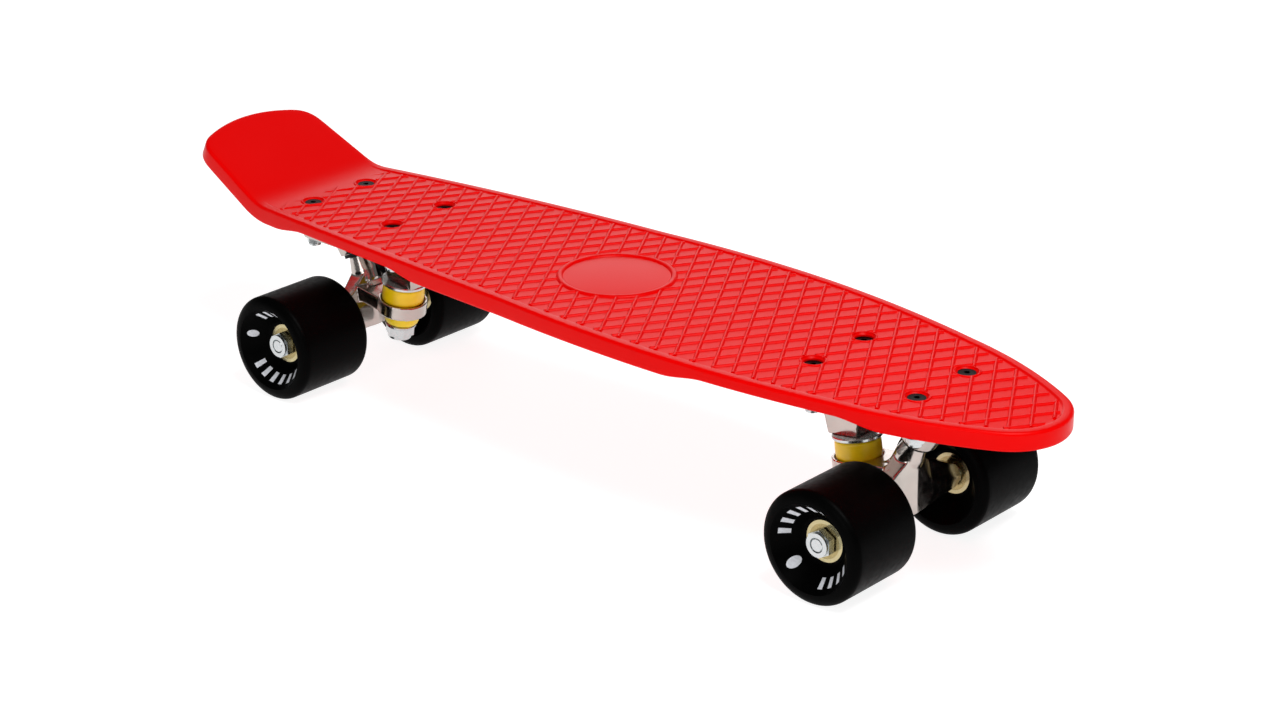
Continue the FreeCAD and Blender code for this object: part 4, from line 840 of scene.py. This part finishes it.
def maths(tree, operation, *values):
    """One Math node."""
    return add_node(tree, "ShaderNodeMath", dict(enumerate(values)), operation=operation).outputs[0]


def length_of(tree, first, second):
    """Length of a flat vector with two parts."""
    squares = [maths(tree, "MULTIPLY", part, part) for part in (first, second)]
    return maths(tree, "SQRT", maths(tree, "ADD", *squares))


def printed_wheel(finishes):
    """Black cast polyurethane with plain white pad-printed marks: two arcs of bars, two dots."""
    material, tree, shader = cast_polyurethane("black cast polyurethane", finishes.wheels, 0.4, 0.02)
    place = add_node(tree, "ShaderNodeAttribute", attribute_name="hub_place").outputs["Vector"]
    axes = add_node(tree, "ShaderNodeSeparateXYZ", {"Vector": place}).outputs
    right, above, out = axes["X"], axes["Y"], axes["Z"]
    turn = maths(tree, "ARCTAN2", above, right)
    radius = length_of(tree, right, above)
    outside = maths(tree, "GREATER_THAN", out, 13 * MM)
    marks = None
    # Middle of the arc and half its reach, in degrees, and the number of bars.
    for centre, reach, bars in ((125.0, 57.0, 6), (-49.0, 35.0, 4)):
        offset = maths(tree, "SUBTRACT", turn, math.radians(centre))
        wrapped = maths(tree, "WRAP", offset, math.pi, -math.pi)
        share = maths(tree, "MULTIPLY", wrapped, bars / math.radians(2 * reach))
        cell = maths(tree, "FRACT", maths(tree, "ADD", share, 0.5 * (bars % 2) + bars))
        bar = within(tree, cell, 0.5, 0.22)
        arc = within(tree, wrapped, 0.0, math.radians(reach))
        tall = within(tree, radius, 19.0 * MM, 2.1 * MM)
        group = maths(tree, "MULTIPLY", maths(tree, "MULTIPLY", bar, arc), tall)
        marks = group if marks is None else maths(tree, "MAXIMUM", marks, group)
    for centre, far, size in ((224.5, 18.4, 2.7), (23.0, 19.0, 2.2)):
        spot = Vector((math.cos(math.radians(centre)), math.sin(math.radians(centre)))) * far * MM
        side = maths(tree, "SUBTRACT", right, spot.x)
        high = maths(tree, "SUBTRACT", above, spot.y)
        gap = length_of(tree, side, high)
        dot = maths(tree, "LESS_THAN", gap, size * MM)
        marks = maths(tree, "MAXIMUM", marks, dot)
    marks = maths(tree, "MULTIPLY", marks, outside)
    ink = maths(tree, "MULTIPLY", marks, spread(tree, grain(tree, 1.2 * MM), 0.8, 0.98))
    base = shader.inputs["Base Color"].links[0].from_socket
    mixed = add_node(tree, "ShaderNodeMix", data_type="RGBA")
    tree.links.new(ink, mixed.inputs["Factor"])
    tree.links.new(base, mixed.inputs[6])
    mixed.inputs[7].default_value = colour(finishes.print)
    tree.links.new(mixed.outputs[2], shader.inputs["Base Color"])
    return material


def yellow_urethane(finishes):
    """Soft yellow polyurethane, faintly translucent."""
    material, _, shader = cast_polyurethane("yellow polyurethane", finishes.bushings, 0.36, 0.5)
    shader.inputs["Subsurface Weight"].default_value = 0.15
    shader.inputs["Subsurface Radius"].default_value = (0.0015, 0.001, 0.0002)
    shader.inputs["Subsurface Scale"].default_value = 1.0
    return material


def pivot_rubber(finishes):
    """Moulded black rubber, matt."""
    material, _, _ = cast_polyurethane("moulded black rubber", finishes.wheels, 0.6, 0.3)
    return material


def metal(name, code, rough_low, rough_high, patch_size, wave, variation=0.05):
    """Metal whose roughness and tint drift over patches, with a fine wave in its surface."""
    material, tree, shader = shader_of(name, Metallic=1.0)
    drift = grain(tree, patch_size, 4.0)
    tree.links.new(tinted(tree, code, drift, variation), shader.inputs["Base Color"])
    wear = grain(tree, patch_size / 3)
    tree.links.new(spread(tree, wear, rough_low, rough_high), shader.inputs["Roughness"])
    tree.links.new(bump(tree, grain(tree, patch_size / 4, 2.0), wave), shader.inputs["Normal"])
    return material


def finish_table(finishes):
    """Material of each slot of the record."""
    return {
        "deck_plastic": polypropylene(finishes),
        "truck_aluminium": metal(
            "polished cast aluminium", finishes.castings, 0.12, 0.24, 14 * MM, 0.03 * MM, 0.06
        ),
        "pivot_rubber": pivot_rubber(finishes),
        "bushing_urethane": yellow_urethane(finishes),
        "zinc_steel": metal("bright zinc-plated steel", finishes.zinc, 0.16, 0.32, 2 * MM, 0.012 * MM),
        "black_steel": metal("black-oxide steel", "#080706", 0.5, 0.6, 2 * MM, 0.01 * MM),
        "wheel_urethane": printed_wheel(finishes),
        "bearing_steel": metal("ground bearing steel", finishes.bearings, 0.12, 0.24, 3 * MM, 0.006 * MM),
        "bearing_shield": metal("yellow-zinc steel sheet", "#A8986A", 0.2, 0.34, 2 * MM, 0.01 * MM),
        "cage_plastic": cast_polyurethane("natural nylon", "#CFC8B4", 0.4, 0.5)[0],
    }


MATERIALS = {}


# ------------------------------------------------------------------------------ operators


class SKATEBOARD_OT_finishes(bpy.types.Operator):
    """Make every material and give each CAD node the one of its slot"""

    bl_idname = "skateboard.finishes"
    bl_label = "Finishes"

    def execute(self, context):
        MATERIALS.update(finish_table(context.scene.skateboard_finishes))
        for name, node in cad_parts.items():
            node.data.materials.clear()
            node.data.materials.append(MATERIALS[slot_of(name)])
        return {"FINISHED"}


class SKATEBOARD_OT_deck(bpy.types.Operator):
    """Mould the deck with its rim, ribs, truck pads and bolt holes"""

    bl_idname = "skateboard.deck"
    bl_label = "Deck"

    def execute(self, context):
        deck = context.scene.skateboard_deck
        plastic = MATERIALS["deck_plastic"]
        shell = deck_shell(deck)
        cut_away(shell, hole_tools(deck))
        shell.data.set_sharp_from_angle(angle=math.radians(35.0))
        finish_piece(shell, "deck", "deck_plastic", plastic, "deck")
        pads = truck_pads()
        cut_away(pads, hole_tools(deck))
        pads.data.set_sharp_from_angle(angle=math.radians(35.0))
        finish_piece(pads, "deck", "deck_plastic", plastic)
        finish_piece(deck_ribs(deck), "deck", "deck_plastic", plastic)
        return {"FINISHED"}


class SKATEBOARD_OT_tread(bpy.types.Operator):
    """Raise the diamond tread, the badge and the rings round the bolt holes"""

    bl_idname = "skateboard.tread"
    bl_label = "Tread and badge"

    def execute(self, context):
        deck = context.scene.skateboard_deck
        plastic = MATERIALS["deck_plastic"]
        finish_piece(tread_ridges(deck, context.scene.skateboard_tread), "deck", "deck_plastic", plastic)
        finish_piece(badge_and_rings(deck), "deck", "deck_plastic", plastic)
        return {"FINISHED"}


class SKATEBOARD_OT_wheels(bpy.types.Operator):
    """Cast the four wheels with their printed sides"""

    bl_idname = "skateboard.wheels"
    bl_label = "Wheels"

    def execute(self, context):
        phases = {
            "front_right_wheel": 0.0,
            "rear_right_wheel": math.radians(147.0),
            "front_left_wheel": math.radians(60.0),
            "rear_left_wheel": math.radians(-100.0),
        }
        for prefix, _ in TRUCKS:
            for side, outward in SIDES:
                node = f"{prefix}_{side}_wheel"
                piece = wheel_piece(f"{node}_cast", middle(node), outward, phases[node])
                finish_piece(piece, node, "wheel_urethane", MATERIALS["wheel_urethane"], node)
        return {"FINISHED"}


class SKATEBOARD_OT_bushings(bpy.types.Operator):
    """Cast the bushings that sit between the deck and the hangers"""

    bl_idname = "skateboard.bushings"
    bl_label = "Bushings"

    def execute(self, context):
        tilt = math.radians(9.0)
        for prefix, outboard in TRUCKS:
            for side, toward_ring, taper in (("board", -1.0, 0.0), ("road", 1.0, 1.6 * MM)):
                node = f"{prefix}_{side}_side_bushing"
                piece, axis, height = bushing_piece(f"{node}_cast", node, outboard, tilt, taper)
                finish_piece(piece, None, "bushing_urethane", MATERIALS["bushing_urethane"], node)
                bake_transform(piece)
        return {"FINISHED"}


class SKATEBOARD_OT_castings(bpy.types.Operator):
    """Give the base plates and hangers the soft edges of polished castings"""

    bl_idname = "skateboard.castings"
    bl_label = "Castings"

    def execute(self, context):
        aluminium = MATERIALS["truck_aluminium"]
        for prefix, _ in TRUCKS:
            for part, body in (("baseplate", "deck"), ("hanger", f"{prefix}_hanger")):
                node = f"{prefix}_{part}"
                piece = cast_piece(f"{node}_cast", node, 0.55 * MM, 4)
                finish_piece(piece, body, "truck_aluminium", aluminium, node)
        return {"FINISHED"}


class SKATEBOARD_OT_stage(bpy.types.Operator):
    """Lay the floor and set the lights and the camera"""

    bl_idname = "skateboard.stage"
    bl_label = "Stage"

    def execute(self, context):
        scene = context.scene
        studio = scene.skateboard_studio
        floor = floor_sheet()
        world = bpy.data.worlds.new("studio")
        world.use_nodes = True
        world.node_tree.nodes["Background"].inputs["Color"].default_value = (1.0, 1.0, 1.0, 1.0)
        world.node_tree.nodes["Background"].inputs["Strength"].default_value = 0.16
        scene.world = world
        softbox("key light", (1.0, -0.3, 2.0), (0.0, 0.0, 0.0), 0.9, 36.0)
        softbox("fill light", (0.6, -2.2, 1.0), (0.0, 0.0, 0.05), 1.0, 10.0)
        softbox("back light", (-1.5, 1.75, 0.85), (0.0, 0.0, 0.1), 1.3, 9.0)
        camera = bpy.data.objects.new("camera", bpy.data.cameras.new("camera"))
        camera.data.lens = studio.lens
        camera.data.sensor_width = 36.0
        camera.data.clip_start = 0.05
        turn, lift = studio.azimuth, studio.elevation
        back = Vector((math.sin(turn) * math.cos(lift), -math.cos(turn) * math.cos(lift), math.sin(lift)))
        camera.location = Vector(studio.aim) + back * studio.distance
        camera.rotation_euler = back.to_track_quat("Z", "Y").to_euler()
        scene.collection.objects.link(camera)
        scene.camera = camera
        scene.view_settings.view_transform = "Standard"
        return {"FINISHED"}


def floor_sheet():
    """Plain pale floor, a wide flat sheet under the wheels."""
    reach = np.linspace(-6.0, 6.0, 5)
    x, y = np.meshgrid(reach, reach, indexing="ij")
    points = np.stack([x, y, np.zeros_like(x)], axis=-1)
    sheet, quads = patch(points, loop_columns=False)
    mesh = bpy.data.meshes.new("floor")
    mesh.from_pydata(sheet.tolist(), [], quads.tolist())
    floor = bpy.data.objects.new("floor", mesh)
    bpy.context.scene.collection.objects.link(floor)
    material, _, shader = shader_of("matt white paper", Base_Color=(0.4, 0.4, 0.4, 1.0), Roughness=0.9)
    shader.inputs["Specular IOR Level"].default_value = 0.1
    shader.inputs["Emission Color"].default_value = (1.0, 1.0, 1.0, 1.0)
    shader.inputs["Emission Strength"].default_value = 0.88
    mesh.materials.append(material)
    return floor


def softbox(name, place, target, size, power):
    """Square area light that faces a target."""
    light = bpy.data.lights.new(name, "AREA")
    light.size = size
    light.energy = power
    made = bpy.data.objects.new(name, light)
    made.location = place
    made.rotation_euler = (Vector(place) - Vector(target)).to_track_quat("Z", "Y").to_euler()
    bpy.context.scene.collection.objects.link(made)
    return made


def slot_of(node):
    """Material slot of one node, by what the piece is."""
    rules = [
        ("baseplate", "truck_aluminium"),
        ("hanger", "truck_aluminium"),
        ("pivot_cup", "pivot_rubber"),
        ("bushing", "bushing_urethane"),
        ("mounting_bolts", "black_steel"),
        ("bearing_cages", "cage_plastic"),
        ("bearing_shields", "bearing_shield"),
        ("bearing", "bearing_steel"),
        ("wheel", "wheel_urethane"),
        ("deck", "deck_plastic"),
    ]
    return next((slot for word, slot in rules if word in node), "zinc_steel")


class SKATEBOARD_PT_panel(bpy.types.Panel):
    """Sidebar panel that lists the skateboard's pieces"""

    bl_idname = "SKATEBOARD_PT_panel"
    bl_label = "Skateboard"
    bl_space_type = "VIEW_3D"
    bl_region_type = "UI"
    bl_category = "Skateboard"

    def draw(self, context):
        for group in ("deck", "tread", "finishes", "studio"):
            box = self.layout.box()
            settings = getattr(context.scene, f"skateboard_{group}")
            for name in settings.__annotations__:
                box.prop(settings, name)
        for operator in OPERATORS:
            self.layout.operator(operator.bl_idname)


OPERATORS = (
    SKATEBOARD_OT_finishes,
    SKATEBOARD_OT_deck,
    SKATEBOARD_OT_tread,
    SKATEBOARD_OT_wheels,
    SKATEBOARD_OT_bushings,
    SKATEBOARD_OT_castings,
    SKATEBOARD_OT_stage,
)
GROUPS = {
    "skateboard_deck": SKATEBOARD_PG_deck,
    "skateboard_tread": SKATEBOARD_PG_tread,
    "skateboard_finishes": SKATEBOARD_PG_finishes,
    "skateboard_studio": SKATEBOARD_PG_studio,
}
CLASSES = tuple(GROUPS.values()) + OPERATORS + (SKATEBOARD_PT_panel,)


def register():
    """Register the classes and hang the settings on the scene."""
    for item in CLASSES:
        bpy.utils.register_class(item)
    for name, group in GROUPS.items():
        setattr(bpy.types.Scene, name, bpy.props.PointerProperty(type=group))


def unregister():
    """Take the settings and the classes away again."""
    for name in GROUPS:
        delattr(bpy.types.Scene, name)
    for item in reversed(CLASSES):
        bpy.utils.unregister_class(item)


def main():
    """Make every piece in order."""
    register()
    for operator in OPERATORS:
        category, name = operator.bl_idname.split(".")
        getattr(getattr(bpy.ops, category), name)()


if __name__ == "__main__":
    main()
